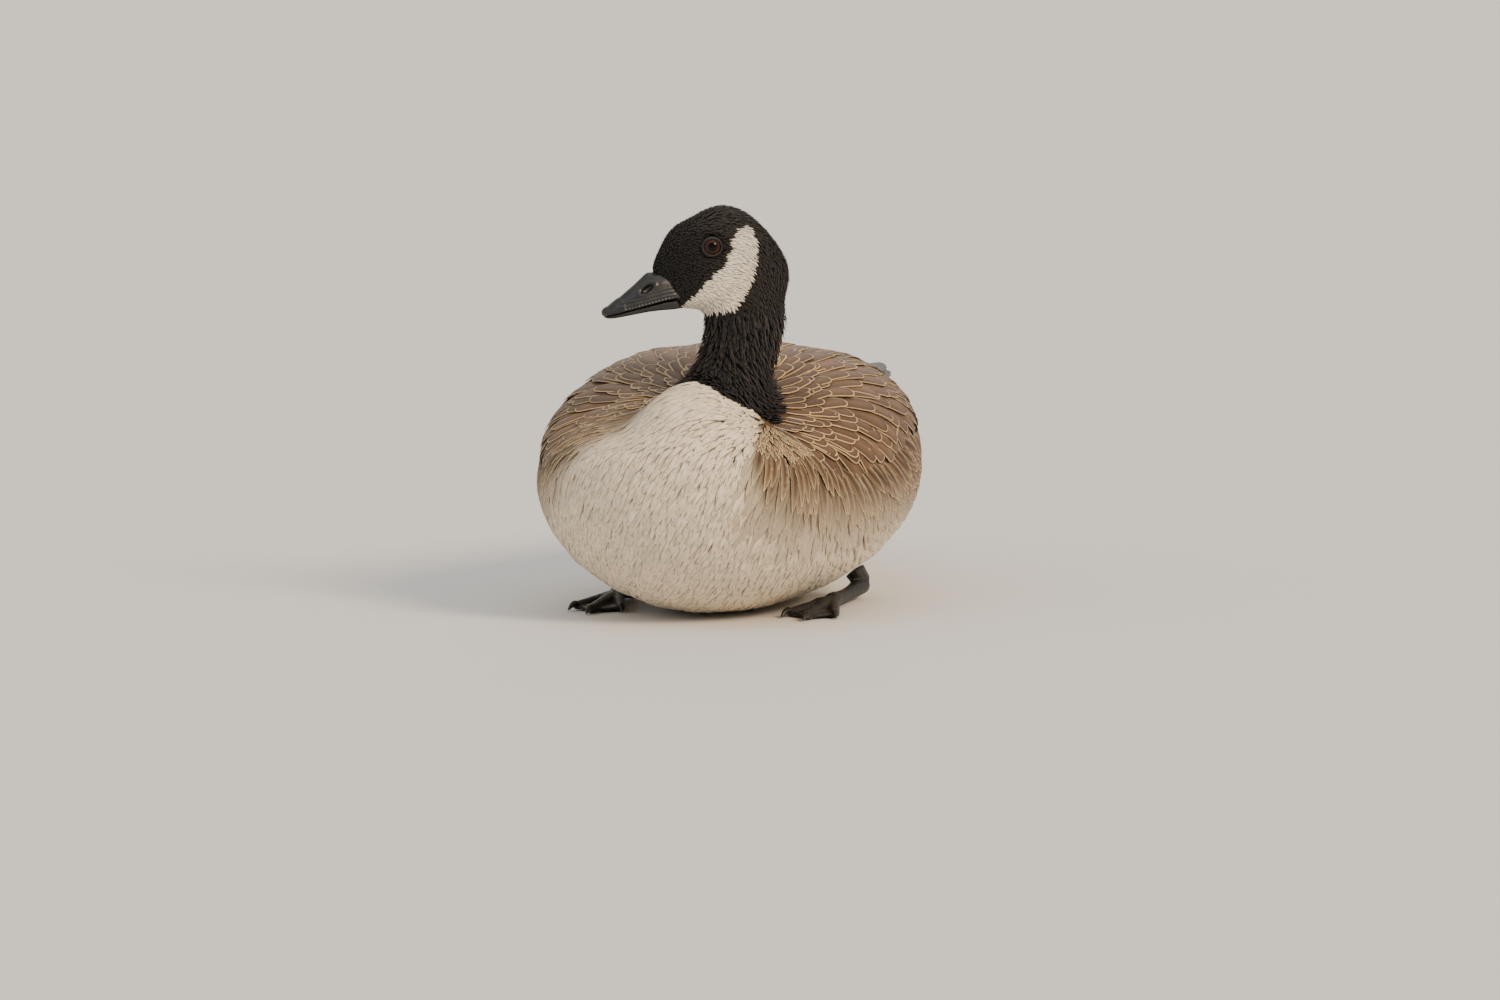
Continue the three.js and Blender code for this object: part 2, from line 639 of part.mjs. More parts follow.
const torso = body.add(breast);
const upperNeck = neckSolid(0).trimByPlane([0, 0, 1], HEAD_CUT_Z + GAP / 2);
let head = headSolid(0).add(upperNeck);
for (const lid of lids) head = head.add(lid);
for (const socket of sockets) head = head.subtract(socket);
const neck = aboveCut(neckSolid(0)).trimByPlane([0, 0, -1], GAP / 2 - HEAD_CUT_Z).subtract(bodyGrown);
const headGrown = headSolid(GAP);
const billUpper = placed(billUpperSolid(), headFrame).subtract(headGrown);
const billLower = placed(billHalf(false), headFrame)
  .subtract(headGrown)
  .subtract(placed(billUpperSolid(), headFrame).translate([0, 0, -GAP]));
const tail = tailSolid().subtract(bodyGrown);
const folded = wingSolid();
const [wingLeft, wingRight] = [folded, mirrored(folded)].map((side) => side.subtract(bodyGrown).subtract(neckGrown));
const leg = legSolid().trimByPlane([0, 1, 0], SHANK_CUT_Y);
const [legLeft, legRight] = [leg, mirrored(leg)].map((side) => side.subtract(bodyGrown));
const foot = footSolid();

addNode("torso", largest(torso), "plumage_pale");
addNode("neck", largest(neck), "plumage_black");
addNode("head", largest(head), "plumage_black", headGroup);
addNode("bill_upper", largest(billUpper), "bill_horn", headGroup);
addNode("bill_lower", largest(billLower), "bill_horn", headGroup);
addNode("eye_left", eyes[0], "eye", headGroup);
addNode("eye_right", eyes[1], "eye", headGroup);
addNode("wing_left", largest(wingLeft), "plumage_brown");
addNode("wing_right", largest(wingRight), "plumage_brown");
addNode("tail", largest(tail), "plumage_black");
addNode("leg_left", largest(legLeft), "leg_skin");
addNode("leg_right", largest(legRight), "leg_skin");
addNode("foot_left", largest(foot), "leg_skin");
addNode("foot_right", mirrored(largest(foot)), "leg_skin");

export default group;
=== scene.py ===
# Looks of a life-size Canada goose that rests on its belly, with its head turned to its right.
# Sizes are in millimetres in the bird's frame, with -Y ahead of it, +X its left and the floor at 0.
import math
from functools import partial

import bmesh
import bpy
import numpy as np
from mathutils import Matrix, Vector
from mathutils.bvhtree import BVHTree


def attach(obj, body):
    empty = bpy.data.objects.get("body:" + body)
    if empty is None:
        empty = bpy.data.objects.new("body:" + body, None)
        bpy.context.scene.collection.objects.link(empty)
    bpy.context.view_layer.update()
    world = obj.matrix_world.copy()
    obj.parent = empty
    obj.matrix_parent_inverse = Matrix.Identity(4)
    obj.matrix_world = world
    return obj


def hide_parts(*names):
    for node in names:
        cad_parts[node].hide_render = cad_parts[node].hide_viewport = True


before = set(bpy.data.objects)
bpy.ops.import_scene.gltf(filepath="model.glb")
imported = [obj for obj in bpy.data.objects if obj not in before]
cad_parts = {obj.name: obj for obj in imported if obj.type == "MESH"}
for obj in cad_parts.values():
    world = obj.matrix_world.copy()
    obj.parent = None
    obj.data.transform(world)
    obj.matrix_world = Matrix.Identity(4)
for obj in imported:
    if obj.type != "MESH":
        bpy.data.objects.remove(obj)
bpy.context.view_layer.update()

MM = 0.001
SEED = 4389
UP = np.array([0.0, 0.0, 1.0])
REAR = np.array([0.0, 1.0, 0.0])

# The head's place and heading, and the eye's place in it: ahead, to the left, up.
HEAD_AT = np.array([22.6, -98.0, 259.7])
HEADING = math.radians(60)
AHEAD = np.array([-math.sin(HEADING), -math.cos(HEADING), 0.0])
LEFT = np.array([math.cos(HEADING), -math.sin(HEADING), 0.0])
EYE_AT = (14.2, 16.7, 8.3)
EYE_RADIUS = 8.0
LID_RADIUS = 6.9
# Heights from which all feathers are black, the cheek patch lies, and the head's feathers and unwrap start.
ALL_BLACK_FROM = 203
CHEEK_FROM = 214
HEAD_FROM = 221
HEAD_MAP_FROM = 224
# Middle lines about which the body and the neck are round: a height, and x and y.
BODY_MIDDLE = 95.0
NECK_MIDDLE = (30, -90)

# Middle line of the neck: z, x, y and how far its sides reach.
NECK_LINE = np.array([
    [140, 16, -115, 48],
    [164, 25.5, -99, 37],
    [182, 29, -91, 33],
    [200, 33.5, -88, 32],
    [218, 35.5, -88, 31],
    [240, 30, -91, 31],
])
# Lower edge of the black on the neck: a place on it, and the way up from it.
SOCK_AT = np.array([23.0, -98.0, 154.4])
SOCK_UP = np.array([0.33, 0.25, 0.89]) / np.linalg.norm([0.33, 0.25, 0.89])
# White cheek patch in the head's frame: ahead, up.
CHEEK = [
    (-13, 22.4), (-7, 21), (0, 15.4), (1.8, 6.7), (7, -4.8), (17.5, -15.3), (24.2, -23.9), (33, -34),
    (31, -45), (20, -45), (13, -39.5), (-3, -37.5), (-8.6, -26.9), (-12.4, -16.2), (-16.1, -5.4),
    (-17.8, 11.9),
]
# Where the feathers' lie starts, at the crease by the left shoulder and the neck's foot, and where it ends.
CREASE = np.array([57.0, -112.0, 144.0])
NECK_FOOT = np.array([24.0, -100.0, 158.0])
TAIL_TIP = np.array([0.0, 340.0, 142.0])


def smooth(low, high, x):
    t = np.clip((x - low) / (high - low), 0, 1)
    return t * t * (3 - 2 * t)


def unit(v):
    return v / np.maximum(np.linalg.norm(v, axis=-1, keepdims=True), 1e-9)


def draw(number):
    """A seeded source of random numbers for a piece."""
    return np.random.default_rng(SEED + number)


def head_frame(points):
    """Places ahead of, to the left of and above the middle of the head."""
    rel = points - HEAD_AT
    return rel @ AHEAD, rel @ LEFT, rel[..., 2]


def from_head(ahead, left, up):
    return HEAD_AT + ahead * AHEAD + left * LEFT + up * UP


def inside(outline, x, y):
    """True where a point lies in a closed outline."""
    found = np.zeros(x.shape, bool)
    for (ax, ay), (bx, by) in zip(outline, outline[1:] + outline[:1]):
        crosses = (ay > y) != (by > y)
        found ^= crosses & (x < (bx - ax) * (y - ay) / (by - ay + 1e-12) + ax)
    return found


def neck_ratio(points):
    """Distance from the neck's middle line, as a share of how far its sides reach."""
    z = points[..., 2]
    x = np.interp(z, NECK_LINE[:, 0], NECK_LINE[:, 1])
    y = np.interp(z, NECK_LINE[:, 0], NECK_LINE[:, 2])
    reach = np.interp(z, NECK_LINE[:, 0], NECK_LINE[:, 3])
    return np.hypot(points[..., 0] - x, points[..., 1] - y) / reach


def black_share(points):
    """1 on the black head and neck, 0 on the rest."""
    above = (points - SOCK_AT) @ SOCK_UP
    near = neck_ratio(points) < 0.98 + 0.2 * smooth(155, 185, points[..., 2])
    return ((points[..., 2] > ALL_BLACK_FROM) | ((above > 0) & near)).astype(float)


def white_share(points):
    """1 on the cheek patch, which runs under the chin from side to side."""
    ahead, _, up = head_frame(points)
    return inside(CHEEK, ahead, up).astype(float) * (points[..., 2] > CHEEK_FROM)


# Level of the edge between the pale breast and the brown sides, across the bird: x and z.
BREAST_EDGE = np.array([
    [-140, 82], [-125, 86], [-100, 97], [-77, 111], [-54, 127], [-38, 137], [-23, 149], [-2, 166], [3, 190],
    [50, 190], [56, 124], [66, 97], [84, 88], [106, 84], [140, 80],
])


def brown_share(points):
    """0 on the pale breast and belly, 1 on the brown upper side."""
    x, y, z = points[..., 0], points[..., 1], points[..., 2]
    side = smooth(np.where(x > 0, 40, 85), np.where(x > 0, 84, 130), np.abs(x - 5))
    edge = np.interp(x, BREAST_EDGE[:, 0], BREAST_EDGE[:, 1]) - 8 * smooth(-40, 120, y)
    share = smooth(-8 - 26 * side, 7 + 16 * side, z - edge)
    return np.maximum(share, smooth(-104, -94, y) * smooth(138, 148, z))


def lie(points, ups):
    """Unit direction in which the feathers lie."""
    y, z = points[..., 1:2], points[..., 2:3]
    far = np.linalg.norm(points - CREASE, axis=-1, keepdims=True)
    high = smooth(-115, -88, y) * smooth(112, 145, z)
    fan = unit(points - CREASE) * (1 - high) + unit(points - NECK_FOOT) * high
    rear = REAR * smooth(-110, 60, y) * 1.3
    droop = -UP * (0.08 + 0.65 * smooth(30, 150, far)) * (1 - smooth(60, 170, y))
    gather = unit(TAIL_TIP - points) * smooth(90, 210, y) * 2.5
    body = fan + rear + droop + gather
    ahead = head_frame(points)[0][..., None]
    neck = -UP + 0.12 * np.cross(UP, ups)
    head = -AHEAD * smooth(-42, 6, ahead) - UP * (0.12 + 1.1 * (1 - smooth(-42, 6, ahead)))
    black = black_share(points)[..., None]
    top = smooth(216, 232, z)
    way = body * (1 - black) + black * (neck * (1 - top) + head * top)
    return unit(way - ups * (way * ups).sum(-1, keepdims=True))


def values_of(items, field, width=1, kind=np.int32):
    """One field of a mesh's items, with a row for each item where it is wider than one number."""
    values = np.empty(len(items) * width, kind)
    items.foreach_get(field, values)
    return values.reshape(-1, width) if width > 1 else values


class Surface:
    """A closed mesh with smooth normals, that can be asked for its nearest point."""

    def __init__(self, mesh):
        mesh.calc_loop_triangles()
        self.mesh = mesh
        self.co = values_of(mesh.vertices, "co", 3, float) / MM
        self.tris = values_of(mesh.loop_triangles, "vertices", 3)
        self.edges = values_of(mesh.edges, "vertices", 2)
        self.settle()

    def settle(self):
        """Works out normals again after a change of shape."""
        a, b, c = (self.co[self.tris[:, k]] for k in range(3))
        self.face = np.cross(b - a, c - a)
        total = np.zeros_like(self.co)
        for k in range(3):
            for axis in range(3):
                total[:, axis] += np.bincount(self.tris[:, k], self.face[:, axis], len(self.co))
        self.normal = unit(total)
        self.face_normal = unit(self.normal[self.tris].mean(axis=1))
        self.tree = None

    def relax(self, weight, rounds):
        """Moves each vertex towards the middle of its neighbours, by a weight."""
        a, b = self.edges.T
        count = np.bincount(a, minlength=len(self.co)) + np.bincount(b, minlength=len(self.co))
        for _ in range(rounds):
            for axis in range(3):
                value = self.co[:, axis]
                total = np.bincount(a, value[b], len(value)) + np.bincount(b, value[a], len(value))
                self.co[:, axis] = value + weight * (total / count - value)
        self.settle()

    def nearest(self, points):
        """Nearest points on the surface and the smooth normals there."""
        if self.tree is None:
            self.tree = BVHTree.FromPolygons(self.co.tolist(), self.tris.tolist())
        hits = [self.tree.find_nearest(p) for p in points.tolist()]
        spots = np.array([tuple(hit[0]) for hit in hits]).reshape(-1, 3)
        return spots, self.face_normal[[hit[2] for hit in hits]]

    def scatter(self, keep, spacing, rng, tries=6):
        """Roots on the part that keep() accepts, none closer than the spacing to another."""
        area = np.linalg.norm(self.face, axis=1) / 2
        middle = self.co[self.tris].mean(axis=1)
        area = area * keep(middle, self.face_normal)
        count = int(tries * area.sum() / spacing**2)
        pick = rng.choice(len(area), count, p=area / area.sum())
        u, v = rng.random((2, count, 1))
        flip = u + v > 1
        u, v = np.where(flip, 1 - u, u), np.where(flip, 1 - v, v)
        a, b, c = (self.co[self.tris[pick, k]] for k in range(3))
        points = a + (b - a) * u + (c - a) * v
        return points[spaced(points, spacing)]

    def written(self):
        """The mesh with the surface's present shape, shaded smooth."""
        self.mesh.vertices.foreach_set("co", (self.co * MM).ravel())
        self.mesh.update()
        self.mesh.shade_smooth()
        return self.mesh


def spaced(points, spacing):
    """Indices of points taken in turn, leaving out those too close to one already taken."""
    cells = {}
    taken = []
    keys = np.floor(points / spacing).astype(int).tolist()
    near = [(i, j, k) for i in (-1, 0, 1) for j in (-1, 0, 1) for k in (-1, 0, 1)]
    limit = spacing * spacing
    for index, ((i, j, k), (x, y, z)) in enumerate(zip(keys, points.tolist())):
        clear = True
        for di, dj, dk in near:
            for px, py, pz in cells.get((i + di, j + dj, k + dk), ()):
                if (px - x) ** 2 + (py - y) ** 2 + (pz - z) ** 2 < limit:
                    clear = False
                    break
            if not clear:
                break
        if clear:
            cells.setdefault((i, j, k), []).append((x, y, z))
            taken.append(index)
    return taken


# Skin: the solids' own shape, sunk by the depth of the coat. The wings are in it up to their cut, and whole
# in the surface that the quills lie on.
VOXEL = 2.3
WING_CUT = 196.0
BEYOND_WINGS = 400.0
SKIN_LOWEST = 0.2
# Nothing lies lower than this over the floor.
LEAST_HEIGHT = 0.05
COAT_DEPTH = {"body": 7.0, "wing": 3.0, "neck": 4.2, "head": 2.0, "face": 0.9}


def mesh_of(made, name):
    """A mesh with the shape of a bmesh, which is freed."""
    mesh = bpy.data.meshes.new(name)
    made.to_mesh(mesh)
    made.free()
    return mesh


def placed(name, data):
    """A new object in the scene."""
    made = bpy.data.objects.new(name, data)
    bpy.context.scene.collection.objects.link(made)
    return made


def joined(nodes, wing_cut=None):
    """Solids of some nodes as one mesh. With a cut given, the folded wings are in it as far as that."""
    made = bmesh.new()
    for node in nodes:
        made.from_mesh(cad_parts[node].data)
    for node in ("wing_left", "wing_right") if wing_cut else ():
        wing = bmesh.new()
        wing.from_mesh(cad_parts[node].data)
        parts = wing.verts[:] + wing.edges[:] + wing.faces[:]
        end = (0, wing_cut * MM, 0)
        bmesh.ops.bisect_plane(wing, geom=parts, plane_co=end, plane_no=(0, 1, 0), clear_outer=True)
        bmesh.ops.holes_fill(wing, edges=wing.edges[:])
        cut = mesh_of(wing, "cut")
        made.from_mesh(cut)
        bpy.data.meshes.remove(cut)
    return mesh_of(made, "joined")


def remeshed(mesh, voxel):
    """One closed even mesh round all of a mesh's solids."""
    source = placed("source", mesh)
    voxels = source.modifiers.new("voxels", "REMESH")
    voxels.mode = "VOXEL"
    voxels.voxel_size = voxel * MM
    graph = bpy.context.evaluated_depsgraph_get()
    made = bpy.data.meshes.new_from_object(source.evaluated_get(graph))
    bpy.data.objects.remove(source)
    return made


# Lower edge of the wing's and shoulder's feathers at the front: across and up.
WING_EDGE = np.array([[45, 150], [66, 133], [88, 118], [105, 113], [140, 113]])


def wing_share(points):
    """1 where the folded wing and the back lie, 0 elsewhere."""
    x, y, z = points[..., 0], points[..., 1], points[..., 2]
    front = np.interp(np.abs(x), WING_EDGE[:, 0], WING_EDGE[:, 1])
    rear = 126 + 16 * smooth(60, 190, y)
    lowest = front + (rear - front) * smooth(-70, 10, y)
    share = smooth(lowest - 3, lowest + 5, z) * smooth(-122, -108, y) * (1 - smooth(190, 202, y))
    return share * (1 - black_share(points))


def coat_depth(points):
    ahead, _, up = head_frame(points)
    top = smooth(208, 226, points[..., 2])
    face = smooth(18, 36, ahead) * top
    wing = wing_share(points)
    black = black_share(points)
    body = COAT_DEPTH["body"] * (1 - wing) + COAT_DEPTH["wing"] * wing
    low = body * (1 - black) + COAT_DEPTH["neck"] * black
    depth = low * (1 - top) + COAT_DEPTH["head"] * top
    return depth * (1 - face) + COAT_DEPTH["face"] * face


def build_skin():
    skin = Surface(remeshed(joined(("torso", "neck", "head"), WING_CUT), VOXEL))
    _, y, z = skin.co.T
    face = smooth(30, 42, head_frame(skin.co)[0]) * smooth(208, 226, z)
    wing = smooth(100, 125, z) * (1 - smooth(198, 206, z)) * smooth(-125, -100, y)
    # The solids' facets run together, and more so the steps between the feathers of back and wings.
    skin.relax(0.5 * (1 - 0.85 * face), 14)
    skin.relax(0.5 * wing, 60)
    skin.co -= skin.normal * coat_depth(skin.co)[:, None]
    skin.co[:, 2] = np.maximum(skin.co[:, 2], SKIN_LOWEST)
    skin.settle()
    skin.relax(0.4 * (1 - 0.7 * face), 8)
    # The wing's edge and end run out softly on the body.
    skin.relax(0.5 * (1 - black_share(skin.co)) * smooth(40, 70, skin.co[:, 2]), 45)
    return skin


# Unwrap of the skin's own shape: body, neck and head each have a band of the map. A feather's patch is small.
PATCH = 0.003


def unwrap(points, turn_near=None):
    """Place of each point on the unwrap: turn about the part's middle line, and place along it."""
    ahead, left, up = head_frame(points)
    x, y, z = points[..., 0], points[..., 1], points[..., 2]
    top = z > HEAD_MAP_FROM
    black = (black_share(points) > 0.5) & ~top
    around_body = np.arctan2(x, BODY_MIDDLE - z)
    around_neck = np.arctan2(x - NECK_MIDDLE[0], -(y - NECK_MIDDLE[1]))
    around_head = np.arctan2(left, -up)
    turn = np.where(top, around_head, np.where(black, around_neck, around_body))
    if turn_near is not None:
        turn = turn_near + (turn - turn_near + math.pi) % (2 * math.pi) - math.pi
    on_head = 0.99 - 0.2 * np.clip((ahead + 50) / 110, 0, 1)
    on_neck = 0.64 + 0.13 * np.clip((z - 130) / 100, 0, 1)
    on_body = 0.62 * np.clip((y + 200) / 510, 0, 1)
    along = np.where(top, on_head, np.where(black, on_neck, on_body))
    return np.stack([0.5 + 0.46 * turn / math.pi, along], -1), turn


def add_map(mesh, places):
    """UV map of a piece, from the place of each of its faces' corners."""
    layer = mesh.uv_layers.new(name="OFBake")
    layer.uv.foreach_set("vector", np.clip(places, 0, 1).astype(np.float32).ravel())


def mesh_from(name, co, corners, sizes, flat=None):
    """A mesh from its points, the corners of its faces one after another, and the faces' sizes."""
    mesh = bpy.data.meshes.new(name)
    mesh.vertices.add(len(co))
    mesh.vertices.foreach_set("co", (co * MM).astype(np.float32).ravel())
    mesh.loops.add(corners.size)
    mesh.loops.foreach_set("vertex_index", corners.astype(np.int32).ravel())
    mesh.polygons.add(len(sizes))
    mesh.polygons.foreach_set("loop_start", (np.cumsum(sizes) - sizes).astype(np.int32))
    mesh.update(calc_edges=True)
    mesh.shade_smooth()
    if flat is not None:
        mesh.polygons.foreach_set("use_smooth", ~flat)
    return mesh


def add_values(mesh, **values):
    """Stores a number for each vertex, for the materials to read."""
    for name, value in values.items():
        layer = mesh.attributes.new(name, "FLOAT", "POINT")
        layer.data.foreach_set("value", np.asarray(value, np.float32).ravel())


def add_piece(name, mesh, material, replaces=()):
    """A piece of the bird with its material, which rides on the bird's one body."""
    piece = placed(name, mesh)
    mesh.materials.clear()
    mesh.materials.append(material)
    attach(piece, "root")
    if replaces:
        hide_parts(*replaces)


# Feathers.
def laid(skin, roots, length, stops, turn):
    """Lines of points on the skin, one from each root along the lie of the feathers."""
    here, up = skin.nearest(roots)
    spots, ups = [here], [up]
    for before, after in zip(stops, stops[1:]):
        heading = lie(here, up)
        aside = np.cross(heading, up)
        heading = heading * np.cos(turn)[:, None] + aside * np.sin(turn)[:, None]
        here, up = skin.nearest(here + heading * ((after - before) * length)[:, None])
        spots.append(here)
        ups.append(up)
    return np.stack(spots, 1), np.stack(ups, 1)


# Least evenness of the surface under a feather: of the bends along its line, and of the turns of its normals.
EVEN = {"body": (0.88, 0.85), "collar": (0.5, 0.6), "back": (0.5, 0.7)}


def unkinked(spots, ups, bend_least, turn_least):
    """True for the feathers with an even surface under them."""
    ways = unit(np.diff(spots, axis=1))
    bend = (ways[:, 1:] * ways[:, :-1]).sum(-1).min(axis=1)
    turn = (ups[:, 1:] * ups[:, :-1]).sum(-1).min(axis=1)
    return (bend > bend_least) & (turn > turn_least)


def vane_faces(rows, columns):
    """Corners and sizes of a closed vane's faces: upper side, underside from rim to rim, and both ends."""
    at = np.arange(rows * columns).reshape(rows, columns)
    upper = [
        (at[i, j], at[i + 1, j], at[i + 1, j + 1], at[i, j + 1])
        for i in range(rows - 1) for j in range(columns - 1)
    ]
    under = [(at[i, 0], at[i, -1], at[i + 1, -1], at[i + 1, 0]) for i in range(rows - 1)]
    faces = upper + under + [tuple(at[0]), tuple(at[-1, ::-1])]
    flat = np.arange(len(faces)) >= len(upper)
    return np.concatenate(faces), np.array([len(face) for face in faces]), flat


def vanes(name, spots, ups, half, shape, traits, rng, material, replaces=()):
    """A piece of feathers as closed vanes, from each one's line, ways up, half-width and traits."""
    stops, shares, across = (np.array(shape[key]) for key in ("stops", "shares", "across"))
    count, rows, columns = len(spots), len(stops), len(across)
    heading = unit(np.gradient(spots, axis=1))
    aside = unit(np.cross(ups, heading))
    width = (half[:, None] * shares)[..., None]
    spread = width * across
    lift = shape["low"] + (traits["high"][:, None] - shape["low"]) * stops ** shape["rise"]
    lift = lift - shape["dip"] * smooth(0.75, 1, stops)
    every_second = np.where(np.arange(columns) % 2 == 0, -1, 1)
    ridges = every_second * shape["ridge"] * (np.abs(across) < 1)
    height = lift[..., None] - shape["cup"] * width * across**2
    height = height + ridges * smooth(0.05, 0.5, stops)[:, None]
    top = spots[:, :, None] + aside[:, :, None] * spread[..., None] + ups[:, :, None] * height[..., None]
    # At a fringed tip every second point stands back, and the middle ones reach further.
    ragged = rng.random((count, columns)) * 1.1 - 0.55
    fringe = every_second / 2 - 0.8 * np.linspace(-1, 1, columns) ** 2
    notch = shape["fringe"] * half[:, None] * (ragged + fringe)
    top[:, -1] += heading[:, -1, None] * notch[..., None]
    co = top.reshape(-1, 3)
    co[:, 2] = np.maximum(co[:, 2], LEAST_HEIGHT)
    corners, sizes, flat = vane_faces(rows, columns)
    step = rows * columns
    corners = corners + np.arange(count)[:, None] * step
    mesh = mesh_from(name, co, corners, np.tile(sizes, count), np.tile(flat, count))
    length = np.linalg.norm(np.diff(spots, axis=1), axis=2).sum(1)
    reach = np.broadcast_to((length[:, None] * stops)[..., None], spread.shape)
    tip = length[:, None, None] - reach
    rim = np.minimum(width * (1 - np.abs(across)), tip)
    brown = np.broadcast_to(traits["brown"].reshape(count, -1, 1), spread.shape)
    tone, white = np.repeat(traits["tone"], step), np.repeat(traits["white"], step)
    add_values(mesh, aside=spread, reach=reach, tip=tip, rim=rim, tone=tone, brown=brown, white=white)
    add_patches(mesh, spots[:, 0], stops, across)
    add_piece(name, mesh, material, replaces)


def add_patches(mesh, roots, stops, across):
    """Maps each feather to a small patch at its root's place on the skin's unwrap."""
    along, aside = np.meshgrid(stops - 0.5, across / 2, indexing="ij")
    patch = PATCH * np.stack([aside, along], -1).reshape(-1, 2)
    places = (unwrap(roots)[0][:, None] + patch).reshape(-1, 2)
    add_map(mesh, places[values_of(mesh.loops, "vertex_index")])


# Shapes of vane: places along it, shares of its half-width there, points across, and how it stands:
# height of its root, hollow, ridges, ragged tip, how its height grows and how far its tip bends down.
THREE = (-1, 0, 1)
FIVE = (-1, -0.5, 0, 0.5, 1)
NINE = (-1, -0.86, -0.6, -0.3, 0, 0.3, 0.6, 0.86, 1)
PLAIN = {"ridge": 0, "fringe": 0, "dip": 0, "rise": 0.8}
SOFT = dict(
    stops=(0, 0.3, 0.6, 0.85, 1), shares=(0.4, 0.85, 1, 0.7, 0.1), across=FIVE,
    low=-1.2, cup=0.16, ridge=0.07, fringe=0.3, rise=0.32, dip=0.7,
)
LONG = dict(
    stops=(0, 0.25, 0.5, 0.7, 0.86, 0.95, 1), shares=(0.5, 0.9, 1, 0.88, 0.58, 0.3, 0.08), across=FIVE,
    low=-1.5, cup=0.14, ridge=0.03, fringe=0.05, rise=0.34, dip=0.5,
)
BROAD = dict(
    stops=(0, 0.25, 0.5, 0.72, 0.85, 0.93, 0.975, 1), shares=(0.5, 0.85, 1, 1, 0.95, 0.76, 0.48, 0.14),
    across=NINE, low=-1.8, cup=0.09, ridge=0.02, fringe=0.02, rise=0.45, dip=0.3,
)
SMALL = dict(
    PLAIN, stops=(0, 0.4, 0.78, 1), shares=(0.6, 1, 0.8, 0.15), across=THREE, low=-0.6, cup=0.35, rise=0.7
)
TINY = dict(PLAIN, stops=(0, 0.55, 1), shares=(0.7, 1, 0.15), across=THREE, low=-0.5, cup=0.4)
QUILL = dict(
    PLAIN, stops=(0, 0.15, 0.35, 0.55, 0.75, 0.88, 0.96, 1), shares=(0.5, 0.85, 1, 1, 0.95, 0.78, 0.5, 0.2),
    across=NINE, low=0, cup=0.1, ridge=0.04, fringe=0.01,
)
WING_QUILL = dict(QUILL, low=-5.0, rise=1.2)
COVERT = dict(BROAD, stops=QUILL["stops"], low=0, dip=0)


def trait_table(roots, high, rng, brown=None, white=None):
    """What differs from feather to feather."""
    count = len(roots)
    return {
        "high": high,
        "tone": rng.random(count),
        "brown": brown_share(roots) if brown is None else np.full(count, brown),
        "white": np.zeros(count) if white is None else white,
    }


def is_black(points, ups):
    return black_share(points) > 0.5


def is_head(points, ups):
    return is_black(points, ups) & (points[..., 2] > HEAD_FROM)


def is_neck(points, ups):
    return is_black(points, ups) & (points[..., 2] <= HEAD_FROM)


def near_eye(points):
    """Distance from the middle of the nearer eye, seen from the side."""
    ahead, _, up = head_frame(points)
    return np.hypot(ahead - EYE_AT[0], up - EYE_AT[2])


def is_body(points, ups):
    return ~is_black(points, ups) & (wing_share(points) < 0.5)


def on_breast(points):
    return (points[..., 1] < -72) & (brown_share(points) < 0.16)


def on_flank(points):
    return ~on_breast(points) & (points[..., 1] < 150)


def is_low(points, ups):
    """The belly's underside, where the feathers may be wider."""
    return ups[..., 2] < np.where(on_breast(points), -0.75, -0.62)


def by_neck(points):
    """Beside the black neck's lower edge and round the crease, where the first feathers start."""
    above = (points - SOCK_AT) @ SOCK_UP
    edge = (np.abs(above) < 12) & (neck_ratio(points) < 1.35)
    return edge | (np.linalg.norm(points - CREASE, axis=-1) < 31)


# Coats of soft body feathers: where they grow, distance between roots, length, half-width and shape.
BREAST = (2.9, 26, 2.7, SOFT)
FLANK = (4.1, 44, 3.9, LONG)
BODY_COATS = {
    "coat_breast_left": (lambda p, n: on_breast(p) & ~is_low(p, n) & (p[..., 0] > 16), *BREAST),
    "coat_breast_right": (lambda p, n: on_breast(p) & ~is_low(p, n) & (p[..., 0] <= 16), *BREAST),
    "coat_flank_left": (lambda p, n: on_flank(p) & ~is_low(p, n) & (p[..., 0] > 0), *FLANK),
    "coat_flank_right": (lambda p, n: on_flank(p) & ~is_low(p, n) & (p[..., 0] <= 0), *FLANK),
    "coat_belly": (lambda p, n: (p[..., 1] < 150) & is_low(p, n), 4.2, 34, 3.8, SOFT),
    "coat_rump": (lambda p, n: p[..., 1] >= 150, 5.4, 40, 5.6, LONG),
    "coat_collar": (lambda p, n: by_neck(p), 2.2, 18, 2.1, SOFT),
}
# Distance between the bars across a coat, and height of its tips over the skin in each place.
BAR_MM = 10
BODY_TIPS = {"body": 6.2, "wing": 3.8, "rump": 5.4, "under": 2.2, "collar": 4.2}


def body_heights(name, roots, tips):
    """How far the tips of the body's feathers stand over the skin."""
    high = np.where(wing_share(tips) > 0.3, BODY_TIPS["wing"], BODY_TIPS["body"])
    if name == "coat_rump":
        # Under the wings' tips the feathers lie flat.
        free = 1 - smooth(18, 34, np.abs(roots[:, 0])) * smooth(104, 118, roots[:, 2])
        high = BODY_TIPS["under"] + (BODY_TIPS["rump"] - BODY_TIPS["under"]) * free
    return np.where(by_neck(roots), BODY_TIPS["collar"], high)


def body_tones(roots, own):
    """Paler and darker feathers run on in rays from the crease, crossed by faint bars."""
    rel = roots - CREASE
    turn = np.arctan2(rel[:, 2], rel[:, 0])
    ray = np.sin(turn * 75) + np.sin(turn * 31)
    bar = np.sin(np.linalg.norm(rel, axis=1) / BAR_MM * 2 * math.pi + 3 * turn)
    return np.clip(0.5 + 0.17 * ray + 0.12 * bar + 0.3 * (own - 0.5), 0, 1)


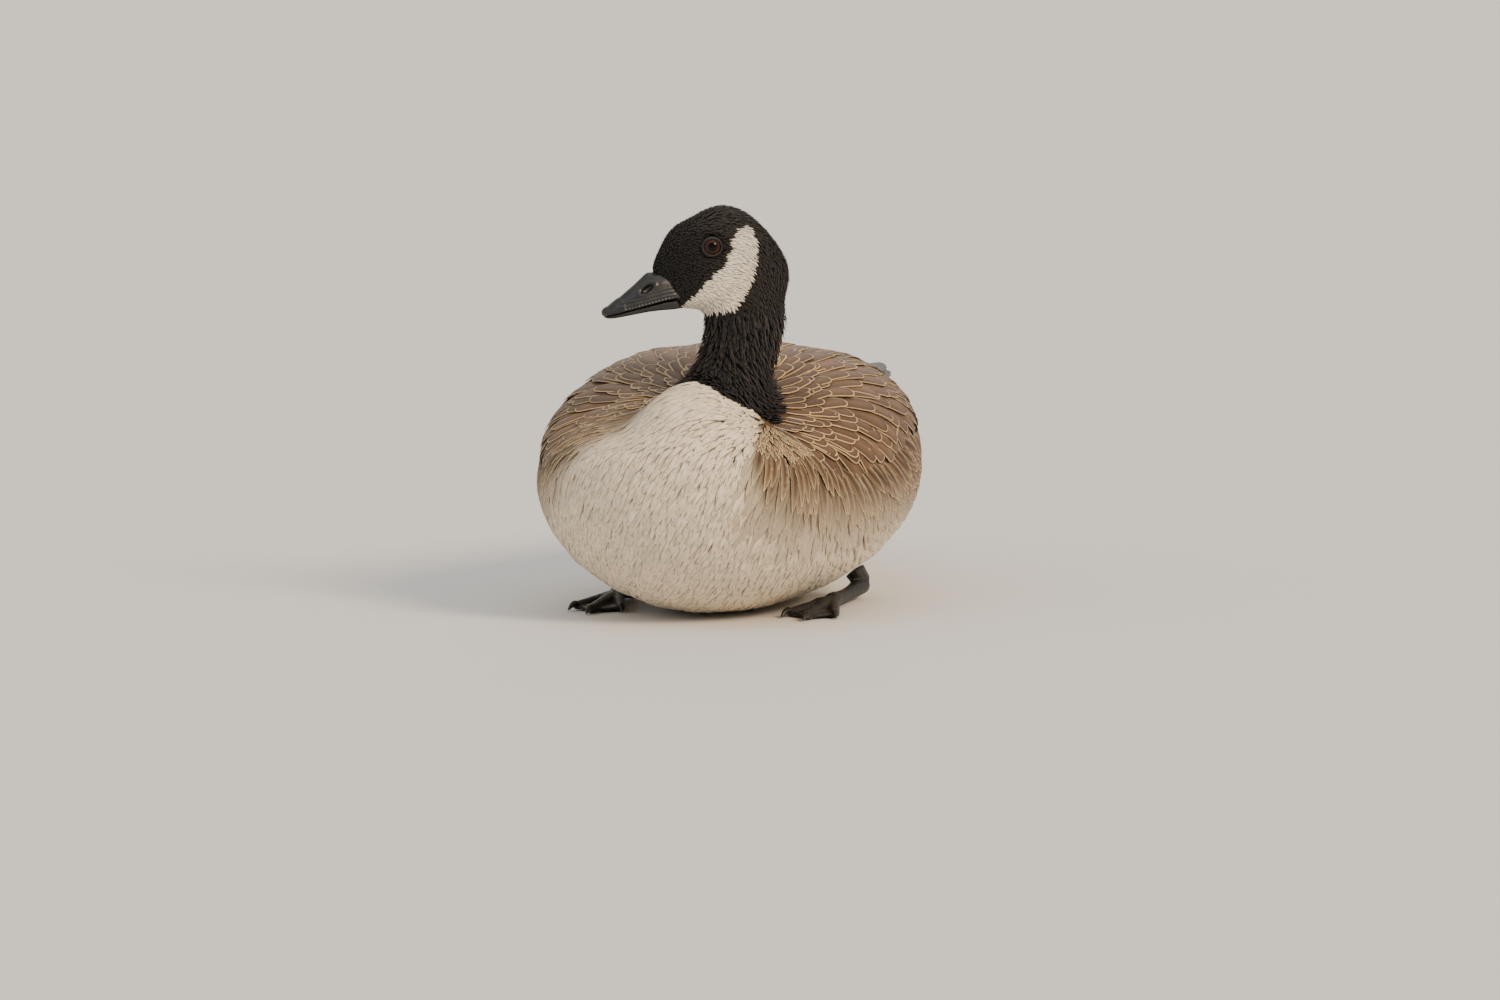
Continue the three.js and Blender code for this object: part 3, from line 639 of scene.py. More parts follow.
def grow_body(skin, material):
    for number, (name, (part, spacing, length, half, shape)) in enumerate(BODY_COATS.items()):
        rng = draw(10 + number)
        roots = skin.scatter(lambda p, n: is_body(p, n) & part(p, n), spacing, rng)
        # Feathers are shorter where they start, at the crease beside the neck.
        near = smooth(4, 60, np.linalg.norm(roots - CREASE, axis=1))
        own = length * (0.6 + 0.4 * near) * rng.uniform(0.85, 1.15, len(roots))
        spots, ups = laid(skin, roots, own, shape["stops"], rng.normal(0, 0.06, len(roots)))
        even = unkinked(spots, ups, *EVEN["collar" if name == "coat_collar" else "body"])
        roots, spots, ups, near = (values[even] for values in (roots, spots, ups, near))
        wide = half * (0.75 + 0.25 * near) * rng.uniform(0.85, 1.15, len(roots))
        high = body_heights(name, roots, spots[:, -1]) * rng.uniform(0.94, 1.04, len(roots))
        traits = trait_table(roots, high, rng)
        traits["brown"] = 0.5 * traits["brown"][:, None] + 0.5 * brown_share(spots)
        traits["tone"] = body_tones(roots, traits["tone"])
        vanes(name, spots, ups, wide, shape, traits, rng, material)


# Coats of neck and head: distance between roots, length and half-width, and how much less on the face.
NECK_COAT = {"spacing": 2.0, "length": (8, 11), "half": (1.0, 1.5), "furrows": 22}
HEAD_COAT = {"spacing": 1.25, "length": 5.6, "shorter": 2.4, "half": 0.95, "narrower": 0.25}


def grow_neck(skin, material):
    rng = draw(20)
    roots = skin.scatter(is_neck, NECK_COAT["spacing"], rng)
    count = len(roots)
    foot = 1 - smooth(4, 26, (roots - SOCK_AT) @ SOCK_UP)
    length = rng.uniform(*NECK_COAT["length"], count) * (1 - 0.3 * foot)
    half = rng.uniform(*NECK_COAT["half"], count)
    spots, ups = laid(skin, roots, length, SMALL["stops"], rng.normal(0, 0.12, count))
    # Geese have furrows down the neck: rows of feathers stand up beside each other.
    turn = np.arctan2(roots[:, 0] - NECK_MIDDLE[0], roots[:, 1] - NECK_MIDDLE[1])
    furrow = np.sin(turn * NECK_COAT["furrows"] + roots[:, 2] * 0.05)
    high = COAT_DEPTH["neck"] * (0.72 + 0.22 * furrow) * rng.uniform(0.85, 1.1, count) * (1 + 0.25 * foot)
    traits = trait_table(roots, high, rng, brown=0.0)
    # Painted highlight: the raised rows of the furrows take the sunlit brown of the rims, by a random amount.
    traits["brown"] = smooth(-0.6, 1.2, furrow) * rng.uniform(0.2, 0.8, count)
    vanes("coat_neck", spots, ups, half, SMALL, traits, rng, material)


def grow_head(skin, material):
    rng = draw(21)
    clear_of_eye = LID_RADIUS + 0.4
    roots = skin.scatter(lambda p, n: is_head(p, n) & (near_eye(p) > clear_of_eye), HEAD_COAT["spacing"], rng)
    count = len(roots)
    face = smooth(8, 34, head_frame(roots)[0])
    length = (HEAD_COAT["length"] - HEAD_COAT["shorter"] * face) * rng.uniform(0.85, 1.15, count)
    half = (HEAD_COAT["half"] - HEAD_COAT["narrower"] * face) * rng.uniform(0.85, 1.15, count)
    spots, ups = laid(skin, roots, length, TINY["stops"], rng.normal(0, 0.13, count))
    depth = COAT_DEPTH["head"] * (1 - face) + COAT_DEPTH["face"] * face
    high = depth * rng.uniform(0.7, 1.1, count)
    ragged = rng.normal(0, 0.5, (2, count))
    shown = spots[:, 1] + ragged[0][:, None] * AHEAD + ragged[1][:, None] * UP
    white = white_share(shown)
    traits = trait_table(roots, high, rng, brown=0.0, white=white)
    # Painted highlight: crown feathers take a random share of the sunlit brown, and the face none.
    traits["brown"] = rng.uniform(0, 0.4, count) * (1 - face)
    for name, chosen, slot in (
        ("coat_face", (white < 0.5) & (face > 0.2), "plumage_black"),
        ("coat_crown", (white < 0.5) & (face <= 0.2), "plumage_black"),
        ("coat_cheek", white > 0.5, "plumage_pale"),
    ):
        part = {key: value[chosen] for key, value in traits.items()}
        vanes(name, spots[chosen], ups[chosen], half[chosen], TINY, part, rng, material)


# Rows of the upper side's feathers, from the foot of the neck to the rump and from the side to the middle,
# how far a row leads at the side, and the feathers' roll, length and half-width, which grow to the rear.
UPPER = {
    "first": -116, "last": 214, "step": 11, "low": 5, "high": 89, "columns": 17, "lead": 16, "roll": -6.5,
    "length": 44, "longer": 32, "half": 8.2, "wider": 4.6, "small_spacing": 5.5,
}


def upper_roots(skin, side):
    """Roots in rows over one half of the back and its folded wing, every second row set between."""
    roots = []
    rows = int((UPPER["last"] - UPPER["first"]) / UPPER["step"])
    for i in range(rows):
        for j in range(UPPER["columns"]):
            share = (j + 0.5 * (i % 2)) / (UPPER["columns"] - 0.5)
            angle = math.radians(UPPER["low"] + (UPPER["high"] - UPPER["low"]) * share)
            y = UPPER["first"] + i * UPPER["step"] - UPPER["lead"] * (1 - share)
            hit = skin.tree.ray_cast((0, y, BODY_MIDDLE), (side * math.cos(angle), 0, math.sin(angle)))
            if hit[0] is not None:
                roots.append(tuple(hit[0]))
    return np.array(roots)


def round_neck(points):
    """The brown part of the body that adjoins the neck."""
    near = (neck_ratio(points) < 1.5) & (points[..., 2] > 132)
    return near & (black_share(points) < 0.5) & (brown_share(points) > 0.5)


def grow_upper(skin, material):
    for number, (name, side) in enumerate((("coat_back_left", 1), ("coat_back_right", -1))):
        rng = draw(30 + number)
        roots = upper_roots(skin, side)
        end = 122 + 74 * (1 - smooth(10, 24, np.abs(roots[:, 0])))
        chosen = (wing_share(roots) > 0.25) & (neck_ratio(roots) > 0.97) & (roots[:, 1] < end)
        roots = roots[chosen] + rng.normal(0, 2.2, (chosen.sum(), 3))
        # Smaller feathers crowd round the foot of the neck.
        spacing = UPPER["small_spacing"]
        small = skin.scatter(lambda p, n: round_neck(p) & (p[..., 0] * side > 0), spacing, rng)
        roots = np.concatenate([small, roots])
        apart = smooth(0.95, 1.9, neck_ratio(roots))
        grown = smooth(-110, 110, roots[:, 1])
        length = (UPPER["length"] + UPPER["longer"] * grown) * (0.48 + 0.52 * apart)
        length = length * rng.uniform(0.88, 1.12, len(roots))
        spots, ups = laid(skin, roots, length, BROAD["stops"], rng.normal(0, 0.07, len(roots)))
        even = unkinked(spots, ups, *EVEN["back"])
        roots, spots, ups, grown, apart = (values[even] for values in (roots, spots, ups, grown, apart))
        count = len(roots)
        half = (UPPER["half"] + UPPER["wider"] * grown) * (0.5 + 0.5 * apart)
        half = half * rng.uniform(0.88, 1.1, count)
        ups = rolled(spots, ups, UPPER["roll"] * side)
        traits = trait_table(roots, rng.uniform(2.9, 3.7, count), rng, brown=1.0)
        vanes(name, spots, ups, half, BROAD, traits, rng, material)


# Quills of one folded wing: root y and angle, tip, half-width. The last one lies on top.
QUILLS = [
    (92, 25, (62, 218, 118), 11.5), (96, 29, (59, 229, 125), 11.5), (101, 34, (55, 243, 131), 11.3),
    (106, 40, (50, 260, 137), 11), (112, 46, (44, 279, 142), 10.5), (119, 53, (35, 301, 147), 10),
]
# Tertials lie over the quills: root y and angle, tip, half-width.
TERTIALS = [
    (100, 26, (70, 200, 116), 12), (97, 34, (66, 210, 125), 13), (94, 42, (60, 219, 134), 13.5),
    (92, 51, (51, 226, 142), 13.5), (90, 60, (39, 230, 148), 13), (90, 69, (27, 230, 152), 12.5),
    (90, 78, (15, 226, 154), 12),
]
# Lines come down on the body from this far over it, and their spots after this one hang free.
OVER_SOLIDS = 8
LAST_ON_WING = 4
# Height of the tips over the body: the lowest feather, and from one to the next.
WING_TIPS = {"primaries": (0.4, 0.25), "tertials": (2.0, 0.15)}


def over_wing(guide, table, side):
    """Even lines over the solids from the feathers' roots to their tips, with the way that they face."""
    stops = np.array(QUILL["stops"])
    roots = []
    for y, angle, _, _ in table:
        turn = math.radians(angle)
        hit = guide.tree.ray_cast((0, y, BODY_MIDDLE), (side * math.cos(turn), 0, math.sin(turn)))
        roots.append(tuple(hit[0]))
    tips = np.array([tip for _, _, tip, _ in table]) * (side, 1, 1)
    share = stops[None, :, None]
    line = np.array(roots)[:, None] * (1 - share) + tips[:, None] * share
    line = line + OVER_SOLIDS * from_middle(line)
    spots = guide.nearest(line.reshape(-1, 3))[0].reshape(line.shape)
    # The free tips keep their places, in line with the last spot that is on the wing.
    free = smooth(0.7, 1, share)
    last = tips[:, None] - (1 - share) * (tips - spots[:, LAST_ON_WING])[:, None] / (1 - stops[LAST_ON_WING])
    cubic = np.vander(stops, 4)
    spots = cubic @ np.linalg.pinv(cubic) @ (spots * (1 - free) + last * free)
    tip_ups = unit(np.array([(0.75 - 0.1 * n, 0.05, 1) for n in range(len(table))]) * (side, 1, 1))
    return spots, unit(from_middle(spots) * (1 - share) + tip_ups[:, None] * share)


def from_middle(points):
    """Directions straight out from the body's middle line."""
    return unit((points - (0, 0, BODY_MIDDLE)) * (1, 0, 1))


def grow_quills(dark, brown):
    guide = Surface(remeshed(joined(("torso",), BEYOND_WINGS), VOXEL))
    guide.relax(0.5, 4)
    guide.nearest(guide.co[:1])
    for side, word in ((1, "left"), (-1, "right")):
        for kind, table, material in (("primaries", QUILLS, dark), ("tertials", TERTIALS, brown)):
            rng = draw(40 + side)
            spots, ups = over_wing(guide, table, side)
            ups = rolled(spots, ups, UPPER["roll"] * side)
            half = np.array([width for _, _, _, width in table], float)
            lowest, step = WING_TIPS[kind]
            high = lowest + step * np.arange(len(table))
            traits = trait_table(spots[:, 0], high, rng, brown=1.0)
            vanes(f"{kind}_{word}", spots, ups, half, WING_QUILL, traits, rng, material)


def rolled(spots, ups, degrees):
    """Ways up, rolled about each feather so that its edge lies over its neighbour's."""
    heading = unit(np.gradient(spots, axis=1))
    aside = unit(np.cross(ups, heading))
    turn = math.radians(degrees)
    return ups * math.cos(turn) - aside * math.sin(turn)


# Tail: a folded fan, the middle feather on top, and the coverts over and under its root.
TAIL = {"pairs": 8, "root": (0, 266, 139), "reach": 108, "spread": 6.5, "half": 10.5, "drop": 0.62}


def fan(pairs, reach, spread, width, level, drop, start):
    """Lines of a fan of feathers from the rump's end, with the way that they face."""
    place = np.arange(-pairs, pairs + 1)
    share = (place / pairs)[:, None]
    stops = np.array(QUILL["stops"])[None, :]
    turn = np.radians(share * spread)
    out = start + (reach - start - 7 * share**2) * stops
    x = TAIL["root"][0] + share * width + np.sin(turn) * out
    y = TAIL["root"][1] + np.cos(turn) * out
    z = TAIL["root"][2] + level - drop * np.abs(place)[:, None] + 2.5 * stops * (1 - stops) + stops
    ups = np.broadcast_to(UP, x.shape + (3,))
    return np.stack([x, y, z], -1), unit(ups + 0.12 * share[..., None] * np.array([1.0, 0, 0]))


# Coverts of the tail: height, drop to the sides, reach, and 1 or -1 for facing up or down.
TAIL_COVERTS = {"coverts_over": (5.0, 0.9, 52, 1), "coverts_under": (-9.0, -0.8, 60, -1)}


def grow_tail(dark, soft):
    rng = draw(50)
    spots, ups = fan(TAIL["pairs"], TAIL["reach"], TAIL["spread"], 11, 2, TAIL["drop"], 8)
    count = len(spots)
    traits = trait_table(spots[:, 0], np.zeros(count), rng, brown=0.2)
    half = np.full(count, TAIL["half"])
    vanes("tail_feathers", spots, ups, half, QUILL, traits, rng, dark, ("tail",))
    for name, (level, drop, reach, bend) in TAIL_COVERTS.items():
        rng = draw(51 + bend)
        rows = [
            fan(6, end, 7, 18 - 2 * row, level - bend * 0.9 * row, drop, start)
            for row, (start, end) in enumerate(((-30, reach - 26), (-20, reach - 12), (-8, reach)))
        ]
        lines = np.concatenate([spots for spots, _ in rows])
        faces = np.concatenate([ups * bend for _, ups in rows])
        count = len(lines)
        half = rng.uniform(6.5, 8, count)
        traits = trait_table(lines[:, 0], np.zeros(count), rng, brown=0.0, white=np.ones(count))
        vanes(name, lines, faces, half, COVERT, traits, rng, soft)


# Bill, eyes and feet.
def rounded(nodes, voxel, rounds):
    """CAD nodes as one fine mesh with soft edges."""
    surface = Surface(remeshed(joined(nodes), voxel))
    surface.relax(0.5, rounds)
    return surface


NOSTRIL = {"at": (59, -21.4), "long": 5.6, "tall": 2.3, "pitch": math.radians(34)}
# Line of the mouth along the bill: ahead and up, in the head's frame.
MOUTH = np.array([[30, -27], [46, -29.8], [62, -33.7], [78, -37.6], [90, -40.6]])
NAIL_FROM = 79.5
# How far the horn runs on under the feathers at its root, and how far it sinks there.
HORN_ROOT = 5.0
HORN_SUNK = 1.6
BILL_VOXEL = 0.6
FOOT_VOXEL = 0.9


def nostril_ring(ahead, left, up):
    """Distance from the middle of the nostril, 1 at its edge, and a share for the bill's sides."""
    da, du = ahead - NOSTRIL["at"][0], up - NOSTRIL["at"][1]
    cos_p, sin_p = math.cos(NOSTRIL["pitch"]), math.sin(NOSTRIL["pitch"])
    along, across = da * cos_p - du * sin_p, da * sin_p + du * cos_p
    return np.hypot(along / NOSTRIL["long"], across / NOSTRIL["tall"]), smooth(3, 7, np.abs(left))


def bill_relief(co):
    """How far the bill's surface stands out: nail, rim of the nostril, and grooves along the mouth."""
    ahead, left, up = head_frame(co)
    above = up - np.interp(ahead, MOUTH[:, 0], MOUTH[:, 1])
    ring, side = nostril_ring(ahead, left, up)
    relief = 0.6 * np.exp(-(((ring - 1.3) / 0.28) ** 2)) * side - 1.3 * (1 - smooth(0.6, 1.05, ring)) * side
    grooves = np.sin(above * 2.4 + 0.4) * smooth(0.4, 1.2, above) * (1 - smooth(6, 9, above))
    relief += 0.28 * grooves * smooth(36, 44, ahead) * (1 - smooth(74, 82, ahead)) * side
    nail = smooth(NAIL_FROM - 1.6, NAIL_FROM + 0.8, ahead + 0.35 * np.abs(left) + 0.12 * above)
    relief += 0.5 * nail * smooth(-1, 2, above)
    comb = 0.2 * np.sin(ahead * 2.6) * np.exp(-(((above - 0.6) / 1.2) ** 2))
    return relief + comb * side * smooth(40, 46, ahead) * (1 - smooth(74, 80, ahead))


def build_bill(skin, material):
    for node in ("bill_upper", "bill_lower"):
        surface = rounded([node], BILL_VOXEL, 4)
        near, _ = skin.nearest(surface.co)
        root = 1 - smooth(0.5, 4.5, np.linalg.norm(surface.co - near, axis=1))
        surface.co -= (HORN_ROOT * root)[:, None] * AHEAD
        ahead, _, up = head_frame(surface.co)
        surface.co -= (HORN_SUNK * (1 - smooth(48, 60, ahead)) * smooth(-16, -8, up))[:, None] * UP
        if node == "bill_upper":
            surface.co += surface.normal * bill_relief(surface.co)[:, None]
        ring, side = nostril_ring(*head_frame(surface.co))
        mesh = surface.written()
        # The nostril's hole is marked here so that the horn's material paints it near-black, as painted
        # shade.
        add_values(mesh, hollow=(1 - smooth(0.7, 1.1, ring)) * side)
        add_piece(f"{node}_horn", mesh, material, (node,))


def turns(count):
    """Angles evenly round a circle."""
    return np.arange(count) * 2 * math.pi / count


def ring_mesh(name, ring, tube, point):
    """A closed ring of tube, its points placed by point(turn, way round the tube)."""
    co = point(*np.meshgrid(turns(ring), turns(tube), indexing="ij")).reshape(-1, 3)
    at = np.arange(ring * tube).reshape(ring, tube)
    after = np.roll(at, -1, axis=0)
    quads = np.stack([at, after, np.roll(after, -1, axis=1), np.roll(at, -1, axis=1)], -1)
    return mesh_from(name, co, quads, np.full(ring * tube, 4))


# Rings of the lids: their opening in degrees of the eyeball and their thickness.
LID_RINGS = (("lids", 52, 0.85), ("lid_folds", 62, 0.5))


def build_eye(side, word, eye_material, lid_material):
    """Eyeball with a bulging cornea, and lids round it that carry a row of small beads."""
    out = side * (LEFT * 0.985) + AHEAD * 0.12 + UP * 0.06
    out = out / np.linalg.norm(out)
    up = unit(UP - out * (UP @ out))
    front = np.cross(up, out)
    middle = from_head(EYE_AT[0], side * EYE_AT[1], EYE_AT[2])
    ball = bmesh.new()
    bmesh.ops.create_uvsphere(ball, u_segments=64, v_segments=48, radius=1)
    mesh = mesh_of(ball, f"eye_{word}")
    local = values_of(mesh.vertices, "co", 3, float)
    tilt = np.degrees(np.arccos(np.clip(local[:, 2], -1, 1)))
    radius = EYE_RADIUS * (1 + 0.045 * (1 - smooth(20, 44, tilt)))
    world = local[:, :1] * front + local[:, 1:2] * up + local[:, 2:] * out
    mesh.vertices.foreach_set("co", ((middle + world * radius[:, None]) * MM).ravel())
    mesh.shade_smooth()
    add_values(mesh, tilt=tilt, turn=np.arctan2(local[:, 1], local[:, 0]))
    add_piece(f"eyeball_{word}", mesh, eye_material, (f"eye_{word}",))

    def lid(turn, way):
        high = np.sin(turn)
        opening = np.radians(opening_degrees - 8.0 * np.abs(high) ** 0.8 - 1.5 * high)
        bead = 1 + 0.07 * np.sin(turn * 26)
        tube = thick * (0.8 + 0.3 * np.abs(high)) * bead
        reach = EYE_RADIUS + 0.15 + tube * np.cos(way)
        slope = opening + tube * np.sin(way) / EYE_RADIUS + 0.08
        ray = np.cos(turn)[..., None] * front + high[..., None] * up
        return middle + reach[..., None] * (np.sin(slope)[..., None] * ray + np.cos(slope)[..., None] * out)

    for kind, opening_degrees, thick in LID_RINGS:
        add_piece(f"{kind}_{word}", ring_mesh(f"{kind}_{word}", 156, 14, lid), lid_material)


def build_feet(material):
    for word in ("left", "right"):
        nodes = (f"leg_{word}", f"foot_{word}")
        surface = rounded(nodes, FOOT_VOXEL, 5)
        surface.co[:, 2] = np.maximum(surface.co[:, 2], LEAST_HEIGHT)
        add_piece(f"foot_skin_{word}", surface.written(), material, nodes)


# Claws: the ankle and the toes' ends, the claws' reach and the points round and along each.
ANKLE_AT = np.array([80, -14])
TOE_ENDS = np.array([[61, -72], [80, -90], [97, -71]])
CLAW = {"reach": 10.0, "back": 3.0, "root": 2.9, "tip": 0.35, "level": 4.6, "round": 12, "along": 10}


def claw_faces(rows, ring):
    """Corners and sizes of one tube's faces, with a face at each end."""
    at = np.arange(rows * ring).reshape(rows, ring)
    turned = np.roll(at, -1, axis=1)
    sides = np.stack([at[:-1], turned[:-1], turned[1:], at[1:]], -1).reshape(-1)
    corners = np.concatenate([sides, at[0, ::-1], at[-1]])
    return corners, np.array([4] * ((rows - 1) * ring) + [ring, ring])


def build_claws(material):
    """Blunt horn claws that curve down from the toes' ends to the floor."""
    share = np.linspace(0, 1, CLAW["along"])[:, None]
    way = turns(CLAW["round"])
    radius = (CLAW["root"] - CLAW["tip"]) * (1 - share) ** 0.7 + CLAW["tip"]
    level = CLAW["level"] + 0.6 * np.sin(share * math.pi) - 3.4 * share**2
    corners, sizes = claw_faces(CLAW["along"], CLAW["round"])
    for side, word in ((1, "left"), (-1, "right")):
        co = []
        for end in TOE_ENDS:
            ahead = unit(np.append((end - ANKLE_AT) * (side, 1), 0.0))
            aside = np.cross(UP, ahead)
            out = CLAW["reach"] * share - CLAW["back"]
            line = np.append(end * (side, 1), 0.0) + ahead * out + UP * level
            ring = aside * np.cos(way)[:, None] + UP * np.sin(way)[:, None]
            co.append(line[:, None] + ring[None] * radius[..., None])
        co = np.array(co).reshape(-1, 3)
        step = CLAW["along"] * CLAW["round"]
        shifted = corners + np.arange(len(TOE_ENDS))[:, None] * step
        mesh = mesh_from(f"claws_{word}", co, shifted, np.tile(sizes, len(TOE_ENDS)))
        add_piece(f"claws_{word}", mesh, material)


# Materials.
def linear(code):
    """Linear colour from sRGB hex."""
    channels = [int(code[i:i + 2], 16) / 255 for i in (1, 3, 5)]
    return [c / 12.92 if c <= 0.04045 else ((c + 0.055) / 1.055) ** 2.4 for c in channels] + [1.0]


def add_node(tree, kind, settings, links=(), out=0):
    """Adds a node with its settings and its links, and gives one of its outputs."""
    node = tree.nodes.new(f"ShaderNode{kind}")
    for name, value in settings.items():
        if name == "stops":
            ramp = node.color_ramp.elements
            for element, (place, code) in zip([ramp[0], ramp[1]], value):
                element.position, element.color = place, linear(code)
            for place, code in value[2:]:
                ramp.new(place).color = linear(code)
        elif isinstance(name, int) or name in node.inputs:
            node.inputs[name].default_value = value
        else:
            setattr(node, name, value)
    for name, source in dict(links).items():
        tree.links.new(source, node.inputs[name])
    return node.outputs[out] if node.outputs else None


def new_material(name):
    """An empty material, and the function that adds a node to it."""
    material = bpy.data.materials.new(name)
    material.use_nodes = True
    material.node_tree.nodes.clear()
    return material, partial(add_node, material.node_tree)


# How the barbs run: shares of the way along the feather and of the way out from its shaft.
HAIR_BARBS = (-0.22, 1.0)
VANE_BARBS = (1.0, -0.9)
# A streak runs on for some 17 mm along a feather, and each feather has a pattern of its own.
STREAKS_PER_MM = 0.06
PATTERN_SHIFT = 61.0
# The bar behind a pale feather's tip lies within this length.
TIP_MM = 14.0
# Turns of a pattern for each millimetre: down and fine skin, the grain of horn and its clouds. The first two
# are coarser than the real ones, so that they show.
FINE_PER_MM = 0.9
HORN_PER_MM = 0.42
CLOUDS_PER_MM = 0.06


def feather_material(
    name, pale, brown, edge_mm, deep_mm, roughness, barbs_run, barb_mm, barb_share, lot_share
):
    """Keratin vanes, grown in barbs: matt or satin, with a paler rim, streaks along the barbs and a sheen.
    pale has the colours of tip, bar behind it and middle, and brown those of rim, border and middle.
    Real barbs stand a third of a millimetre apart, and are drawn wider, so that they show."""
    material, add = new_material(name)
    value = {
        key: add("Attribute", {"attribute_name": key}, out="Fac")
        for key in ("aside", "reach", "tip", "rim", "tone", "brown", "white")
    }
    spread = add("Math", {"operation": "ABSOLUTE"}, {0: value["aside"]})
    out = add("Math", {"operation": "MULTIPLY", 1: barbs_run[1] / barb_mm}, {0: spread})
    fine = add("Math", {"operation": "MULTIPLY_ADD", 1: barbs_run[0] / barb_mm}, {0: value["reach"], 2: out})
    course = add("Math", {"operation": "MULTIPLY", 1: STREAKS_PER_MM}, {0: value["reach"]})
    own = add("Math", {"operation": "MULTIPLY", 1: PATTERN_SHIFT}, {0: value["tone"]})
    place = add("CombineXYZ", {}, {0: fine, 1: course, 2: own})
    barbs = add("TexNoise", {"Scale": 1.0, "Detail": 2.0, "Roughness": 0.6}, {"Vector": place})
    # The rim is ragged by the barbs' ends.
    edge = add("Math", {"operation": "MULTIPLY_ADD", 1: 1.2 * edge_mm}, {0: barbs, 2: value["rim"]})
    deep = add("MapRange", {"From Min": 1.2 * edge_mm, "From Max": deep_mm}, {0: edge})
    behind = add("MapRange", {"From Max": TIP_MM}, {0: value["tip"]})
    tip_stops = [(0.06, pale[0]), (1.0, pale[2]), (0.24, pale[1]), (0.5, pale[2])]
    rim_stops = [(0.0, brown[0]), (1.0, brown[2]), (0.06, brown[0]), (0.12, brown[1])]
    tips = add("ValToRGB", {"stops": tip_stops}, {0: behind})
    rims = add("ValToRGB", {"stops": rim_stops}, {0: deep})
    both = add("Mix", {"data_type": "RGBA"}, {0: value["brown"], 6: tips, 7: rims}, out=2)
    marked = add("Mix", {"data_type": "RGBA", 7: linear("#f0e8d8")}, {0: value["white"], 6: both}, out=2)
    barb_range = {"From Min": 0.3, "From Max": 0.7, "To Min": 1 - barb_share, "To Max": 1 + barb_share}
    light = add("MapRange", barb_range, {0: barbs})
    lot = add("MapRange", {"To Min": 1 - lot_share, "To Max": 1 + lot_share}, {0: value["tone"]})
    strength = add("Math", {"operation": "MULTIPLY"}, {0: light, 1: lot})
    toned = add("HueSaturation", {}, {"Value": strength, "Color": marked})
    bump = add("Bump", {"Strength": 0.5, "Distance": 0.4 * MM}, {"Height": barbs})
    finish = {"Roughness": roughness, "Specular IOR Level": 0.3, "Sheen Weight": 0.1, "Sheen Roughness": 0.5}
    shader = add("BsdfPrincipled", finish, {"Base Color": toned, "Normal": bump})
    add("OutputMaterial", {}, {"Surface": shader})
    return material


def skin_material():
    """Down and skin between the feathers: matt, in the colours of the coat over it."""
    material, add = new_material("down_matt")
    names = ("brown", "black", "white")
    brown, black, white = (add("Attribute", {"attribute_name": name}, out="Fac") for name in names)
    body = add("Mix", {"data_type": "RGBA", 6: linear("#c9bca6"), 7: linear("#5f4a37")}, {0: brown}, out=2)
    dark = add("Mix", {"data_type": "RGBA", 7: linear("#0f0e0d")}, {0: black, 6: body}, out=2)
    marked = add("Mix", {"data_type": "RGBA", 7: linear("#d8d0c0")}, {0: white, 6: dark}, out=2)
    down = add("TexNoise", {"Scale": FINE_PER_MM / MM, "Detail": 3.0})
    bump = add("Bump", {"Strength": 0.6, "Distance": 0.5 * MM}, {"Height": down})
    finish = {"Roughness": 0.9, "Specular IOR Level": 0.2}
    shader = add("BsdfPrincipled", finish, {"Base Color": marked, "Normal": bump})
    add("OutputMaterial", {}, {"Surface": shader})
    return material


def horn_material():
    """Horn of bill and claws, grown in layers: black with a satin face, clouds of brown and a faint grain.
    The nostril's hole is painted near-black as painted shade.
    """
    material, add = new_material("horn_satin")
    place = add("TexCoord", {}, out="Object")
    grain = add("TexNoise", {"Scale": HORN_PER_MM / MM, "Detail": 4.0}, {"Vector": place})
    cloud = add("TexNoise", {"Scale": CLOUDS_PER_MM / MM, "Detail": 2.0}, {"Vector": place})
    colour = add("ValToRGB", {"stops": [(0.35, "#121315"), (0.75, "#26241f")]}, {0: cloud})
    rough = add("MapRange", {"From Min": 0.3, "From Max": 0.7, "To Min": 0.3, "To Max": 0.46}, {0: grain})
    # Painted shade: the nostril's hole is coloured near-black.
    hollow = add("Attribute", {"attribute_name": "hollow"}, out="Fac")
    shown = add("Mix", {"data_type": "RGBA", 7: linear("#020202")}, {0: hollow, 6: colour}, out=2)
    bump = add("Bump", {"Strength": 0.35, "Distance": 0.15 * MM}, {"Height": grain})
    shader = add("BsdfPrincipled", {"IOR": 1.54}, {"Base Color": shown, "Roughness": rough, "Normal": bump})
    add("OutputMaterial", {}, {"Surface": shader})
    return material


def eye_material():
    """Wet eye under a clear cornea: a black pupil, a dark brown iris with fine spokes and a darker border."""
    material, add = new_material("eye_wet")
    tilt, turn = (add("Attribute", {"attribute_name": name}, out="Fac") for name in ("tilt", "turn"))
    share = add("Math", {"operation": "DIVIDE", 1: 60.0}, {0: tilt})
    pupil = [(0.33, "#000000"), (1.0, "#050303")]
    iris = [(0.37, "#220f08"), (0.5, "#3d1d10"), (0.66, "#26110a"), (0.76, "#080504")]
    rings = add("ValToRGB", {"stops": pupil + iris}, {0: share})
    spoke = add("Math", {"operation": "MULTIPLY", 1: 9.0}, {0: turn})
    place = add("CombineXYZ", {}, {0: spoke, 1: share})
    fibres = add("TexNoise", {"Scale": 2.0, "Detail": 3.0}, {"Vector": place})
    light = add("MapRange", {"From Min": 0.3, "From Max": 0.7, "To Min": 0.6, "To Max": 1.4}, {0: fibres})
    toned = add("HueSaturation", {}, {"Value": light, "Color": rings})
    ball = {"Roughness": 0.3, "Specular IOR Level": 0.05}
    cornea = {"Coat Weight": 0.6, "Coat Roughness": 0.02, "Coat IOR": 1.33}
    shader = add("BsdfPrincipled", {**ball, **cornea}, {"Base Color": toned})
    add("OutputMaterial", {}, {"Surface": shader})
    return material


